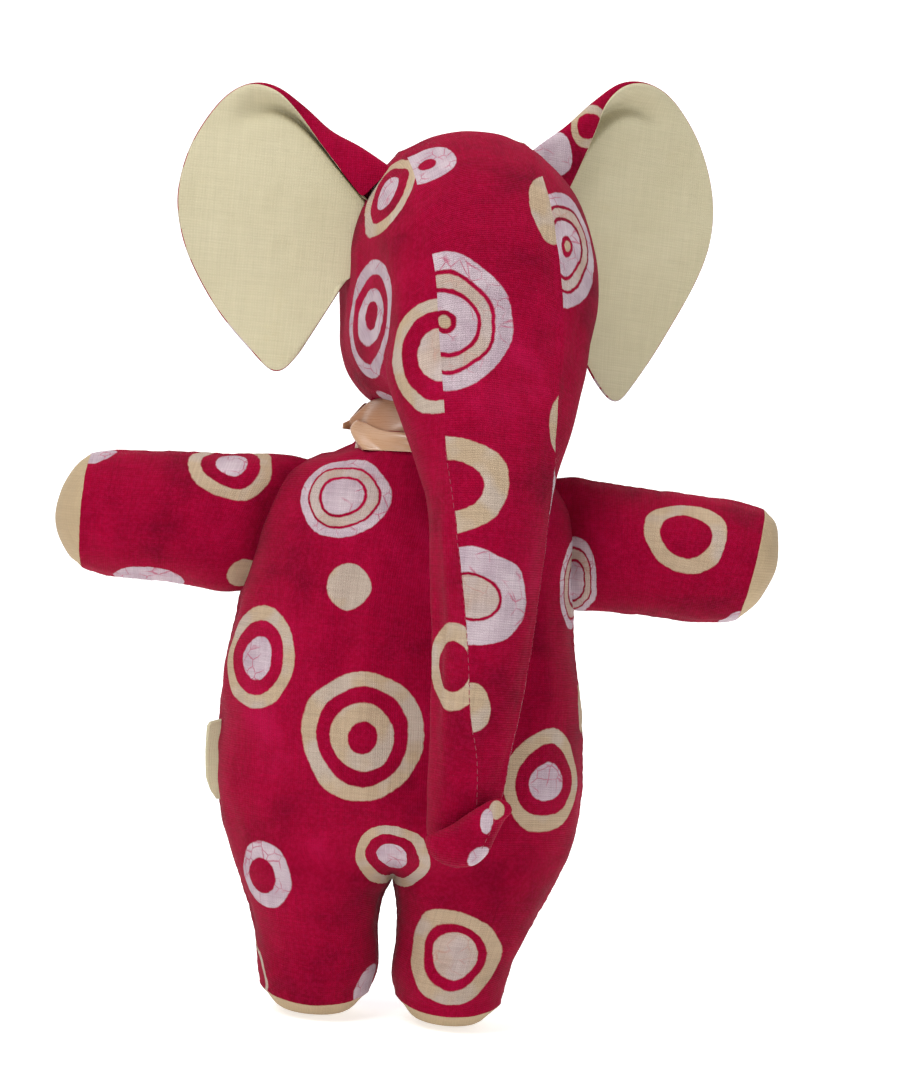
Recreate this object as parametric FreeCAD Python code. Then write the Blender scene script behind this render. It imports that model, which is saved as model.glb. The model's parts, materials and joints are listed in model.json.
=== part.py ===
import FreeCAD, Part
import math
import os
from FreeCAD import Vector

# A stuffed cloth elephant, about 31 cm tall, standing upright on its two soles.
# +Z is up, the toy faces -Y, and its own left side is at +X. Millimetres throughout.

# Cloth, seams and clearances
SKIN = 0.5  # cloth with its seam allowance
FILL_GAP = 0.1  # between the cloth and the filling behind it
SEAM_GAP = 0.15  # half the gap between two panels that are sewn together
BODY_GAP = 0.4  # between pieces that move against each other
RING_POINTS = 16  # spline points in one whole cross section

# The whole toy is moved by this, so that its box stands centred on the origin
TO_ORIGIN = Vector(1.6, 10.2, 0)

# Head: turned towards the toy's own left
HEAD_TURN = 18.0  # degrees
HEAD_CENTRE = Vector(6.5, -1.0, 240.0)
GUSSET_HALF_WIDTH = 21.0  # the centre panel between the two side panels
# level, centre x, centre y, half width, half depth
HEAD = [
    (196.6, 5.0, 3.0, 33.5, 37.5),
    (203.0, 7.2, 1.2, 36.2, 42.0),
    (212.0, 7.5, 0.0, 38.2, 45.5),
    (225.0, 7.4, -1.0, 39.3, 47.0),
    (240.0, 6.6, -1.5, 38.3, 46.5),
    (255.0, 5.2, -1.5, 35.0, 43.0),
    (266.0, 4.5, -1.5, 30.5, 37.5),
    (275.0, 4.5, -1.5, 24.0, 29.0),
    (280.5, 7.0, -1.5, 16.5, 19.5),
    (283.5, 9.0, -1.5, 6.0, 7.0),
]

# Trunk: hangs in front of the belly
TRUNK = [
    (218.0, 11.5, -22.0, 24.0, 22.0),
    (208.0, 13.0, -28.0, 26.5, 24.0),
    (200.0, 14.3, -34.0, 27.0, 22.5),
    (192.0, 16.5, -41.0, 25.5, 18.5),
    (186.0, 18.0, -44.5, 24.0, 17.5),
    (178.0, 19.0, -47.0, 20.8, 17.0),
    (169.0, 19.6, -49.0, 18.6, 16.8),
    (159.7, 20.3, -50.5, 17.2, 16.6),
    (146.0, 20.8, -52.0, 16.0, 16.0),
    (131.6, 21.1, -52.5, 15.0, 15.0),
    (117.5, 21.2, -52.0, 14.1, 14.1),
    (103.5, 21.2, -51.2, 13.0, 13.0),
    (90.0, 21.0, -50.0, 11.8, 11.8),
    (78.0, 20.6, -48.8, 11.0, 11.0),
    (68.0, 20.2, -47.8, 10.4, 10.0),
    (61.0, 19.8, -47.0, 8.6, 8.0),
    (57.5, 19.5, -46.8, 5.0, 4.5),
]
# the two seams of the trunk's centre panel, in degrees from the toy's right, at its two ends
TRUNK_SEAMS_TOP = (58.0, 148.0)
TRUNK_SEAMS_TIP = (95.0, 165.0)
TRUNK_PIVOT = Vector(16.0, -36.0, 205.0)
TRUNK_BARREL = 20.6  # radius of the trunk's rounded root about its hinge
BARREL_REACH = 32.0  # half the length of that root
TRUNK_BACK_ANGLE = 110.0  # the root's back face, down from the horizontal in front

# The end of the trunk, folded up and sewn down: x, y, z, half height, half depth
TIP_FOLD = [
    (10.5, -50.0, 58.0, 3.0, 3.0),
    (15.0, -52.5, 59.0, 5.5, 6.0),
    (21.5, -55.0, 62.0, 6.5, 6.0),
    (28.0, -55.5, 67.0, 6.0, 5.0),
    (32.5, -54.5, 71.0, 3.0, 3.0),
]

# Torso
TORSO = [
    (47.0, 0.8, 0.0, 51.5, 30.5),
    (60.0, 0.5, 0.0, 55.8, 33.0),
    (70.0, 0.2, 0.0, 57.3, 35.0),
    (80.0, 0.0, 0.0, 58.0, 36.0),
    (90.0, -0.8, 0.0, 57.8, 36.5),
    (100.0, -1.3, 0.0, 57.2, 36.5),
    (110.0, -2.2, 0.0, 56.0, 36.0),
    (120.0, -2.5, 0.0, 54.2, 35.5),
    (130.0, -2.5, 0.0, 53.0, 34.5),
    (140.0, -2.2, 0.0, 51.8, 33.5),
    (150.0, -1.2, 0.0, 50.8, 32.0),
    (158.0, -0.2, 0.0, 49.6, 30.5),
    (168.0, 0.0, 0.0, 46.0, 27.5),
    (174.0, 0.8, 0.0, 41.5, 24.5),
    (177.5, 1.4, 0.0, 35.0, 21.5),
    (179.8, 2.0, 0.0, 27.0, 18.0),
]

# Neck: a short stuffed collar with the ribbon tied round it
NECK_CENTRE = Vector(2.5, 2.0, 0)
NECK_LEVELS = (180.2, 196.2)
NECK_HALF = (25.0, 19.2)  # half width, half depth
NOD_PIVOT = Vector(2.5, 2.0, 180.0)
NOD_BACK = 19.0  # degrees that the shoulders fall away behind the nod hinge
RIBBON_LEVELS = (180.9, 195.3)
RIBBON_THICK = 0.8

# Arms: station along X, centre z, half height, half depth, from the seam outwards
RIGHT_ARM = [
    (-38.0, 154.0, 20.0, 17.0),
    (-60.0, 153.3, 21.5, 18.5),
    (-72.0, 153.6, 20.7, 18.5),
    (-86.0, 153.2, 20.1, 18.0),
    (-100.0, 152.9, 19.6, 17.5),
    (-107.0, 153.1, 17.4, 15.5),
    (-112.0, 152.8, 13.4, 12.0),
    (-115.5, 152.5, 8.0, 7.2),
    (-116.9, 152.2, 3.0, 3.0),
]
LEFT_ARM = [
    (38.0, 156.5, 19.0, 17.0),
    (58.0, 155.8, 20.0, 18.5),
    (72.0, 155.3, 19.6, 18.5),
    (86.0, 154.6, 19.6, 18.0),
    (97.0, 154.4, 19.3, 17.5),
    (104.0, 155.6, 17.0, 15.5),
    (109.0, 156.6, 13.0, 12.0),
    (112.4, 157.0, 8.0, 7.2),
    (113.7, 157.2, 3.0, 3.0),
]
# seam that joins each arm to the torso: its lower and upper ends, which are also its hinge line
ARM_SEAM = {
    "right": (Vector(-58.0, 0, 131.0), Vector(-42.0, 0, 176.0)),
    "left": (Vector(51.0, 0, 130.0), Vector(45.0, 0, 176.0)),
}
# seam of each paw pad: its lower and upper ends
PAW_SEAM = {
    "right": (Vector(-106.5, 0, 130.0), Vector(-106.5, 0, 175.0)),
    "left": (Vector(102.0, 0, 136.0), Vector(108.0, 0, 171.0)),
}
ARM_ROOT_ANGLE = 54.0  # half angle of the pinched root of the arm
SHOULDER_ANGLE = 60.0  # half angle of the pinched shoulder that faces it
SHOULDER_EXTRA = 8.0  # the pinch runs past the seam's two ends

# Legs: level, centre x, half width, half depth
RIGHT_LEG = [
    (56.0, -27.3, 26.8, 31.8),
    (45.0, -25.7, 24.0, 29.0),
    (38.0, -24.6, 21.9, 26.0),
    (30.0, -23.5, 19.8, 23.5),
    (20.0, -21.6, 19.0, 21.5),
    (12.0, -21.1, 18.5, 21.0),
    (8.0, -21.3, 17.2, 19.8),
    (4.0, -21.6, 14.0, 16.5),
    (1.2, -21.6, 10.0, 12.5),
    (0.0, -21.6, 7.5, 10.0),
]
LEFT_LEG = [
    (56.0, 27.8, 27.2, 31.8),
    (45.0, 26.3, 24.6, 29.0),
    (38.0, 25.1, 22.6, 26.0),
    (30.0, 23.8, 20.2, 23.5),
    (20.0, 21.9, 18.6, 21.5),
    (12.0, 21.2, 17.6, 21.0),
    (8.0, 21.3, 16.6, 19.8),
    (4.0, 21.4, 14.0, 16.5),
    (1.2, 21.2, 10.0, 12.5),
    (0.0, 21.2, 7.5, 10.0),
]
SOLE_SEAM = 7.0  # level of the seam round each sole
HIP_LEVEL = 54.0  # hinge line of both legs
HIP_FRONT = 44.0  # degrees that the belly rises in front of the hinge line
HIP_BACK = 20.0  # degrees that the seat rises behind it

# Ears: outlines as distance out from the root line and height above its middle
EAR_LAYER = 1.2
EAR_LAYER_GAP = 0.1
RIGHT_EAR_ROOT = Vector(-31.2, -13.0, 247.0)
RIGHT_EAR_SWEEP = 2.0  # degrees back from the sideways direction
RIGHT_EAR = [
    (0.0, -14.0), (6.5, -27.0), (13.5, -40.5), (19.5, -45.5), (28.5, -40.0), (40.5, -27.0),
    (50.5, -12.0), (55.0, 2.0), (54.0, 18.0), (47.5, 31.5), (38.0, 41.0), (28.0, 44.0),
    (17.0, 39.0), (5.5, 29.0), (0.0, 14.0),
]
LEFT_EAR_ROOT = Vector(41.6, 10.5, 249.5)
LEFT_EAR_SWEEP = 38.0
LEFT_EAR = [
    (6.0, -20.0), (13.0, -32.0), (20.5, -43.5), (27.0, -46.5), (33.5, -39.0), (42.5, -25.5),
    (52.5, -5.0), (58.0, 12.0), (57.0, 31.0), (48.5, 47.5), (36.0, 57.5), (22.0, 59.5),
    (10.0, 54.0), (2.0, 40.0), (-3.0, 24.0),
]
EAR_CLEAR = 1.6  # from the head to the ears' root edges

# Side tag and closing stitches
TAG_CORNERS = [(-56.0, 64.0), (-56.0, 91.0), (-59.3, 91.3), (-63.6, 88.6), (-62.6, 76.0)]
TAG_HALF_THICK = 0.8
STITCH_LEVELS = (92.0, 128.0)
STITCH_COUNT = 13
STITCH_LENGTH = 3.2
STITCH_RADIUS = 0.35

FAR = 150.0  # reach of the cutting wedges


def direction(angle):
    """Unit pair at an angle in degrees."""
    return math.cos(math.radians(angle)), math.sin(math.radians(angle))


class Ring:
    """One oval cross section: a centre, two axes and two half sizes."""

    def __init__(self, centre, u, v, half_u, half_v):
        self.centre, self.u, self.v = centre, u, v
        self.half_u, self.half_v = half_u, half_v

    def point(self, angle, inset):
        c, s = direction(angle)
        return self.centre + self.u * ((self.half_u - inset) * c) + self.v * ((self.half_v - inset) * s)

    def wire(self, inset):
        points = [self.point(360.0 * k / RING_POINTS, inset) for k in range(RING_POINTS)]
        curve = Part.BSplineCurve()
        curve.interpolate(Points=points, PeriodicFlag=True)
        return Part.Wire([curve.toShape()])

    def strip(self, start, end, outer, inner):
        """Closed outline of a strip of cloth between two angles."""
        steps = max(2, round(RING_POINTS * (end - start) / 360.0))
        angles = [start + (end - start) * k / steps for k in range(steps + 1)]
        outside = [self.point(a, outer) for a in angles]
        inside = [self.point(a, inner) for a in reversed(angles)]
        edges = []
        for points in (outside, inside):
            curve = Part.BSplineCurve()
            curve.interpolate(Points=points)
            edges.append(curve.toShape())
        edges.insert(1, Part.makeLine(outside[-1], inside[0]))
        edges.append(Part.makeLine(inside[-1], outside[0]))
        return Part.Wire(edges)


def level_rings(stations, turn=0.0):
    """Rings that lie level, for the head, trunk, torso and legs."""
    c, s = direction(turn)
    rings = []
    for level, x, y, half_width, half_depth in stations:
        rings.append(Ring(Vector(x, y, level), Vector(c, s, 0), Vector(s, -c, 0), half_width, half_depth))
    return rings


def upright_rings(stations):
    """Rings that stand across X, for the arms."""
    rings = []
    for x, z, half_height, half_depth in stations:
        rings.append(Ring(Vector(x, 0, z), Vector(0, 0, 1), Vector(0, -1, 0), half_height, half_depth))
    return rings


def solid_through(wires):
    return Part.makeLoft(wires, True, False)


def stuffed(rings, inset):
    """Solid through whole rings, set in from the outside of the cloth."""
    if inset == 0:
        return solid_through([ring.wire(0) for ring in rings])
    first, last = rings[0], rings[-1]
    ends = []
    for end, beside in ((first, rings[1]), (last, rings[-2])):
        inward = beside.centre - end.centre
        step = min(inset, 0.45 * inward.Length)
        ends.append(Ring(end.centre + inward.normalize() * step, end.u, end.v, end.half_u, end.half_v))
    inner = [ends[0]] + rings[1:-1] + [ends[1]]
    return solid_through([ring.wire(inset) for ring in inner])


def cloth_strip(rings, start, end):
    """Panel of cloth between two seams; each seam is (angle at the first ring, angle at the last)."""
    wires = []
    for k, ring in enumerate(rings):
        share = k / (len(rings) - 1)
        size = math.radians(1) * (ring.half_u + ring.half_v) / 2
        gap = SEAM_GAP / size
        low = start[0] + (start[1] - start[0]) * share + gap
        high = end[0] + (end[1] - end[0]) * share - gap
        wires.append(ring.strip(low, high, 0, SKIN))
    return solid_through(wires)


def prism(origin, x_axis, y_axis, points, low, high):
    """Solid with a flat outline in the plane of two axes, between two heights along their normal."""
    normal = x_axis.cross(y_axis)
    corners = [origin + x_axis * p[0] + y_axis * p[1] + normal * low for p in points]
    face = Part.Face(Part.makePolygon(corners + corners[:1]))
    return face.extrude(normal * (high - low))


def slab(normal, point, thickness=2 * FAR):
    """Everything on the side of a plane that its normal points to."""
    box = Part.makeBox(2 * FAR, 2 * FAR, thickness, Vector(-FAR, -FAR, 0))
    box.Placement = FreeCAD.Placement(point, FreeCAD.Rotation(Vector(0, 0, 1), normal))
    return box


def largest(shape):
    """The largest solid of a shape, with its seam lines cleaned."""
    solids = sorted(shape.Solids, key=lambda s: s.Volume)
    return solids[-1]


def cut_all(shape, cutters):
    for cutter in cutters:
        shape = shape.cut(cutter)
    return largest(shape)


# Torso, shoulders and hips


def arm_seam_frame(side):
    """Middle of an arm's seam, the direction out of the torso, the front, and up along the seam."""
    low, high = ARM_SEAM[side]
    up = (high - low).normalize()
    front = Vector(0, -1, 0)
    out = front.cross(up) if side == "right" else up.cross(front)
    return (low + high) * 0.5, out, front, up, (high - low).Length / 2


def wedge_points(angle, vertex):
    """Outline of a wedge about the first axis, as wide as the angle each way."""
    c, s = direction(angle)
    return [(vertex, 0), (vertex + FAR * c, FAR * s), (FAR * 2, FAR * s), (FAR * 2, -FAR * s),
            (vertex + FAR * c, -FAR * s)]


def prism_along(middle, out, front, up, points, half):
    """Prism whose outline is in the out and front axes, whichever way round they are."""
    if out.cross(front).dot(up) > 0:
        return prism(middle, out, front, points, -half, half)
    return prism(middle, front, out, [(q, p) for p, q in points], -half, half)


def shoulder_cutter(side):
    middle, out, front, up, half = arm_seam_frame(side)
    points = wedge_points(180 - SHOULDER_ANGLE, -BODY_GAP / 2)
    return prism_along(middle, out, front, up, points, half + SHOULDER_EXTRA)


def arm_keeper(side):
    middle, out, front, up, half = arm_seam_frame(side)
    return prism_along(middle, out, front, up, wedge_points(ARM_ROOT_ANGLE, BODY_GAP), half + 40)


def hip_cutter():
    """Everything under the torso's underside, which rises from the hip line to front and back."""
    front_c, front_s = direction(HIP_FRONT)
    back_c, back_s = direction(HIP_BACK)
    points = [(0, 0), (FAR * back_c, FAR * back_s), (FAR * back_c, -FAR), (-FAR * front_c, -FAR),
              (-FAR * front_c, FAR * front_s)]
    return prism(Vector(0, 0, HIP_LEVEL), Vector(0, 1, 0), Vector(0, 0, 1), points, -FAR, FAR)


def nape_cutter():
    """Everything above the slope behind the nod hinge."""
    c, s = direction(-NOD_BACK)
    points = [(0, 0), (FAR * c, FAR * s), (FAR * c, FAR), (0, FAR)]
    return prism(NOD_PIVOT, Vector(0, 1, 0), Vector(0, 0, 1), points, -FAR, FAR)


def torso_cutters():
    return [shoulder_cutter("right"), shoulder_cutter("left"), hip_cutter(), nape_cutter()]


def torso_nodes():
    rings = level_rings(TORSO)
    cutters = torso_cutters()
    panels = {
        "torso_front_panel": (0, 180),
        "torso_back_left": (270, 360),
        "torso_back_right": (180, 270),
    }
    nodes = {}
    for name, (start, end) in panels.items():
        strip = cloth_strip(rings, (start, start), (end, end))
        nodes[name] = cut_all(strip, cutters)
    filling = stuffed(rings, SKIN + 3 * FILL_GAP)
    nodes["torso_filling"] = cut_all(filling, cutters)
    return nodes


def side_tag(torso_outer):
    points = [Vector(x, -TAG_HALF_THICK, z) for x, z in TAG_CORNERS]
    face = Part.Face(Part.makePolygon(points + points[:1]))
    return largest(face.extrude(Vector(0, 2 * TAG_HALF_THICK, 0)).cut(torso_outer))


def closing_stitches():
    """Hand stitches across the centre back seam, where the filling went in."""
    low, high = STITCH_LEVELS
    stitches = []
    for k in range(STITCH_COUNT):
        level = low + (high - low) * k / (STITCH_COUNT - 1)
        y = torso_back_at(level) + STITCH_RADIUS + 0.25
        start = Vector(-1.5 - STITCH_LENGTH / 2, y, level)
        stitches.append(Part.makeCylinder(STITCH_RADIUS, STITCH_LENGTH, start, Vector(1, 0, 0)))
    return Part.makeCompound(stitches)


def torso_back_at(level):
    """How far back the torso reaches at a level."""
    for below, above in zip(TORSO, TORSO[1:]):
        if below[0] <= level <= above[0]:
            share = (level - below[0]) / (above[0] - below[0])
            return below[4] + (above[4] - below[4]) * share
    return 0.0


# Neck


def oval_wire(centre, level, half_width, half_depth):
    ring = Ring(Vector(centre.x, centre.y, level), Vector(1, 0, 0), Vector(0, 1, 0), half_width, half_depth)
    return ring.wire(0)


def oval_prism(levels, half_width, half_depth):
    face = Part.Face(oval_wire(NECK_CENTRE, levels[0], half_width, half_depth))
    return face.extrude(Vector(0, 0, levels[1] - levels[0]))


def neck_nodes():
    half_width, half_depth = NECK_HALF
    filling = oval_prism(NECK_LEVELS, half_width - SKIN, half_depth - SKIN)
    collar = oval_prism(NECK_LEVELS, half_width, half_depth).cut(
        oval_prism(NECK_LEVELS, half_width - SKIN + FILL_GAP, half_depth - SKIN + FILL_GAP))
    inner, outer = FILL_GAP, FILL_GAP + RIBBON_THICK
    ribbon = oval_prism(RIBBON_LEVELS, half_width + outer, half_depth + outer).cut(
        oval_prism(RIBBON_LEVELS, half_width + inner, half_depth + inner))
    return {"neck_filling": largest(filling), "neck_collar": largest(collar), "neck_ribbon": largest(ribbon)}


# Head and trunk


def trunk_frame():
    """Hinge point of the trunk, the way the face looks, up, and the hinge axis."""
    c, s = direction(HEAD_TURN)
    return TRUNK_PIVOT, Vector(s, -c, 0), Vector(0, 0, 1), Vector(c, s, 0)


def trunk_space(gap):
    """The barrel round the hinge and the wedge of space below it that the trunk's root takes."""
    pivot, face_way, up, axis = trunk_frame()
    barrel = Part.makeCylinder(TRUNK_BARREL + gap, 2 * BARREL_REACH, pivot - axis * BARREL_REACH, axis)
    c, s = direction(-TRUNK_BACK_ANGLE)
    points = [(0, gap), (FAR, gap), (FAR, -FAR), (FAR * c, FAR * s)]
    if face_way.cross(up).dot(axis) > 0:
        wedge = prism(pivot, face_way, up, points, -FAR, FAR)
    else:
        wedge = prism(pivot, up, face_way, [(q, p) for p, q in points], -FAR, FAR)
    return barrel, wedge


def head_nodes():
    rings = level_rings(HEAD, HEAD_TURN)
    outer = stuffed(rings, 0)
    shell = outer.cut(stuffed(rings, SKIN))
    barrel, wedge = trunk_space(BODY_GAP)
    pivot, face_way, up, axis = trunk_frame()
    middle = HEAD_CENTRE
    slab_right = slab(axis * -1, middle - axis * (GUSSET_HALF_WIDTH + SEAM_GAP))
    slab_left = slab(axis, middle + axis * (GUSSET_HALF_WIDTH + SEAM_GAP))
    centre = prism(middle, axis, face_way * -1,
                   [(-GUSSET_HALF_WIDTH, -FAR), (GUSSET_HALF_WIDTH, -FAR),
                    (GUSSET_HALF_WIDTH, FAR), (-GUSSET_HALF_WIDTH, FAR)], -FAR, FAR)
    nodes = {
        "head_gusset": cut_all(shell.common(centre), [barrel, wedge]),
        "head_side_right": cut_all(shell.common(slab_right), [barrel, wedge]),
        "head_side_left": cut_all(shell.common(slab_left), [barrel, wedge]),
        "head_filling": cut_all(stuffed(rings, SKIN + FILL_GAP), [barrel, wedge]),
    }
    return nodes, outer


def trunk_nodes():
    rings = level_rings(TRUNK, HEAD_TURN)
    barrel, wedge = trunk_space(0)
    keep = barrel.fuse(wedge)
    right_top, left_top = TRUNK_SEAMS_TOP
    right_tip, left_tip = TRUNK_SEAMS_TIP
    under_top, under_tip = 283.0, 310.0
    right_seam = (180 - left_top, 180 - left_tip)
    left_seam = (180 - right_top, 180 - right_tip)
    panels = {
        "trunk_gusset": (right_seam, left_seam),
        "trunk_side_right": (left_seam, (under_top, under_tip)),
        "trunk_side_left": ((under_top - 360, under_tip - 360), right_seam),
    }
    nodes = {}
    for name, (start, end) in panels.items():
        nodes[name] = largest(cloth_strip(rings, start, end).common(keep))
    filling = stuffed(rings, SKIN + FILL_GAP).common(keep)
    nodes["trunk_filling"] = cut_all(filling, [nodes[name] for name in panels])
    outer = stuffed(rings, 0)
    wires = []
    for x, y, z, half_height, half_depth in TIP_FOLD:
        across = Vector(-0.6, 0, 0.8)
        wires.append(Ring(Vector(x, y, z), across, Vector(0, -1, 0), half_height, half_depth).wire(0))
    nodes["trunk_tip_fold"] = largest(solid_through(wires).cut(outer))
    return nodes


# Limbs


def limb_nodes(rings, names, keepers, end_plane_point, end_normal):
    """Two panels, the pad that closes the end, and the filling of one limb."""
    beyond = slab(end_normal, end_plane_point)
    before = slab(end_normal * -1, end_plane_point - end_normal * (2 * SEAM_GAP))
    nodes = {}
    for name, (start, end) in zip(names[:2], ((0, 180), (180, 360))):
        strip = cloth_strip(rings, (start, start), (end, end)).common(before)
        for keeper in keepers:
            strip = strip.common(keeper)
        nodes[name] = largest(strip)
    outer, inner = stuffed(rings, 0), stuffed(rings, SKIN)
    nodes[names[2]] = largest(outer.cut(inner).common(beyond))
    filling = stuffed(rings, SKIN + FILL_GAP)
    for keeper in keepers:
        filling = filling.common(keeper)
    nodes[names[3]] = cut_all(filling, [nodes[name] for name in names[:3]])
    return nodes


def arm_nodes(side, stations):
    low, high = PAW_SEAM[side]
    out_sign = -1 if side == "right" else 1
    along = (high - low).normalize()
    normal = Vector(along.z, 0, -along.x) * out_sign
    names = [f"{side}_arm_front", f"{side}_arm_back", f"{side}_paw_pad", f"{side}_arm_filling"]
    return limb_nodes(upright_rings(stations), names, [arm_keeper(side)], low, normal)


def leg_nodes(side, stations):
    rings = level_rings([(z, x, 0.0, half_width, half_depth) for z, x, half_width, half_depth in stations])
    below_hip = slab(Vector(0, 0, -1), Vector(0, 0, HIP_LEVEL - BODY_GAP))
    out = Vector(-1 if side == "right" else 1, 0, 0)
    own_side = slab(out, out * BODY_GAP)
    names = [f"{side}_leg_front", f"{side}_leg_back", f"{side}_sole_pad", f"{side}_leg_filling"]
    return limb_nodes(rings, names, [below_hip, own_side], Vector(0, 0, SOLE_SEAM), Vector(0, 0, -1))


# Ears


def ear_nodes(side, root, sweep, outline, head_outer):
    """Two flat layers of cloth: the plain lining in front and the printed back."""
    sign = -1 if side == "right" else 1
    c, s = direction(sweep)
    out = Vector(sign * c, s, 0)
    front = Vector(sign * s, -c, 0)
    points = [root + out * p + Vector(0, 0, q) for p, q in outline]
    curve = Part.BSplineCurve()
    curve.interpolate(Points=points, PeriodicFlag=True)
    face = Part.Face(Part.Wire([curve.toShape()]))
    clear = head_outer.copy()
    clear.scale(1 + EAR_CLEAR / 40.0, HEAD_CENTRE)
    nodes = {}
    for name, start in ((f"{side}_ear_lining", EAR_LAYER_GAP / 2), (f"{side}_ear_back", -EAR_LAYER_GAP / 2)):
        layer = face.copy()
        layer.translate(front * start)
        thickness = EAR_LAYER if start > 0 else -EAR_LAYER
        nodes[name] = largest(layer.extrude(front * thickness).cut(clear))
    return nodes


def build():
    nodes = {}
    nodes.update(torso_nodes())
    nodes["side_tag"] = side_tag(stuffed(level_rings(TORSO), 0))
    nodes["closing_stitches"] = closing_stitches()
    nodes.update(neck_nodes())
    head, head_outer = head_nodes()
    nodes.update(head)
    nodes.update(trunk_nodes())
    for side, arm, leg in (("right", RIGHT_ARM, RIGHT_LEG), ("left", LEFT_ARM, LEFT_LEG)):
        nodes.update(arm_nodes(side, arm))
        nodes.update(leg_nodes(side, leg))
    nodes.update(ear_nodes("right", RIGHT_EAR_ROOT, RIGHT_EAR_SWEEP, RIGHT_EAR, head_outer))
    nodes.update(ear_nodes("left", LEFT_EAR_ROOT, LEFT_EAR_SWEEP, LEFT_EAR, head_outer))
    return nodes


os.makedirs("parts", exist_ok=True)
for node, shape in build().items():
    shape.translate(TO_ORIGIN)
    shape.exportStep(f"parts/{node}.step")
    box = shape.BoundBox
    print(f"{node:20s} {shape.isValid()} {len(shape.Solids):3d} {shape.Volume:10.1f}"
          f"  x {box.XMin:7.1f} {box.XMax:7.1f}  y {box.YMin:6.1f} {box.YMax:6.1f}  z {box.ZMin:6.1f} {box.ZMax:6.1f}")
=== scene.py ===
import json
import math

import bpy
import numpy as np
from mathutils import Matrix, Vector
from mathutils.bvhtree import BVHTree
from mathutils.kdtree import KDTree


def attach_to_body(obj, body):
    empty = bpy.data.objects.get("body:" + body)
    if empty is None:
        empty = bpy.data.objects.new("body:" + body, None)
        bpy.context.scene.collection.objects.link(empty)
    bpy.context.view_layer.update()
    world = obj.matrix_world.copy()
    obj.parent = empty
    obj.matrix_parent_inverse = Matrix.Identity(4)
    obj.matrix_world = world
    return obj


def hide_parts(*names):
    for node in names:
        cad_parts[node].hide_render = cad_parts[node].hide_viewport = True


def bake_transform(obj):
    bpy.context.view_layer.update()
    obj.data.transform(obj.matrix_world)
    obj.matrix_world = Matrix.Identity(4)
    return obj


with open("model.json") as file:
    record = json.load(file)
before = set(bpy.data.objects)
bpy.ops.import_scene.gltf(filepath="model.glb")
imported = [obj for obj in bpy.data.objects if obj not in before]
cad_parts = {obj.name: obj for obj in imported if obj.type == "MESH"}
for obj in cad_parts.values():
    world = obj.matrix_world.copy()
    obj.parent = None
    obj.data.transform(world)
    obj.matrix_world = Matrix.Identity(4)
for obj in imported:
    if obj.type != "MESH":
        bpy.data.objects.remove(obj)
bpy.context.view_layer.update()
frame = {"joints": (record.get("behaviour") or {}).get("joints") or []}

# A stuffed cloth elephant. Shapes are worked out in millimetres in the toy's own frame, where the middle
# of the torso is at x 0, y 0 and the floor at z 0, and are moved into the row frame when a mesh is made.

JOINTS = {joint["name"]: joint for joint in frame["joints"]}
NECK_IN_TOY = (2.5, 2.0)  # the neck's axis in the toy's own frame
neck_in_row = JOINTS["head_turn"]["pos_m"]
TO_ROW = np.array([neck_in_row[0] - NECK_IN_TOY[0] / 1000, neck_in_row[1] - NECK_IN_TOY[1] / 1000, 0.0])

# Camera, in the toy's own frame
CAMERA_DISTANCE = 800.0
CAMERA_AT = np.array([9.2, -CAMERA_DISTANCE, 155.1])
CAMERA_ROLL = -5.0  # degrees
FRAME_HEIGHT = 342.2  # what the picture takes in at y 0
SENSOR = 36.0


def to_row(points):
    """Toy millimetres to row metres."""
    return np.asarray(points, float) / 1000 + TO_ROW


def in_toy(points):
    """Row metres to toy millimetres."""
    return (points - TO_ROW) * 1000


def unit(v):
    v = np.asarray(v, float)
    return v / np.linalg.norm(v)


def smooth(keys, t):
    """Rows of [t, value, ...] read at t along a smooth curve that goes through every row."""
    keys = np.asarray(keys, float)
    t = np.asarray(t, float)
    at, values = keys[:, 0], keys[:, 1:]
    slopes = np.gradient(values, at, axis=0)
    k = np.clip(np.searchsorted(at, t, side="right") - 1, 0, len(at) - 2)
    span = (at[k + 1] - at[k])[..., None]
    s = ((t - at[k])[..., None]) / span
    h00, h10 = 2 * s**3 - 3 * s**2 + 1, s**3 - 2 * s**2 + s
    h01, h11 = -2 * s**3 + 3 * s**2, s**3 - s**2
    return h00 * values[k] + h10 * span * slopes[k] + h01 * values[k + 1] + h11 * span * slopes[k + 1]


def step(t):
    t = np.clip(t, 0, 1)
    return t * t * (3 - 2 * t)


def lengths(points):
    """Distance travelled along a line of points, from 0."""
    return np.concatenate([[0], np.cumsum(np.linalg.norm(np.diff(points, axis=0), axis=1))])


def along_line(points, fractions):
    """Points at shares of a line's length."""
    points = np.asarray(points, float)
    run = lengths(points)
    at = np.asarray(fractions) * run[-1]
    return np.stack([np.interp(at, run, points[:, k]) for k in range(points.shape[1])], axis=-1)


# ---------------------------------------------------------------- meshes


def new_object(name, data):
    item = bpy.data.objects.new(name, data)
    bpy.context.scene.collection.objects.link(item)
    return item


def smooth_mesh(name, points, faces):
    mesh = bpy.data.meshes.new(name)
    mesh.from_pydata(points, [], faces)
    mesh.polygons.foreach_set("use_smooth", np.ones(len(faces), bool))
    mesh.update()
    return mesh


def values_of(items, key, width=1, kind=np.float32):
    """One property of every item of a mesh, as an array with this many columns."""
    values = np.empty(len(items) * width, kind)
    items.foreach_get(key, values)
    return values.reshape(-1, width) if width > 1 else values


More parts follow.
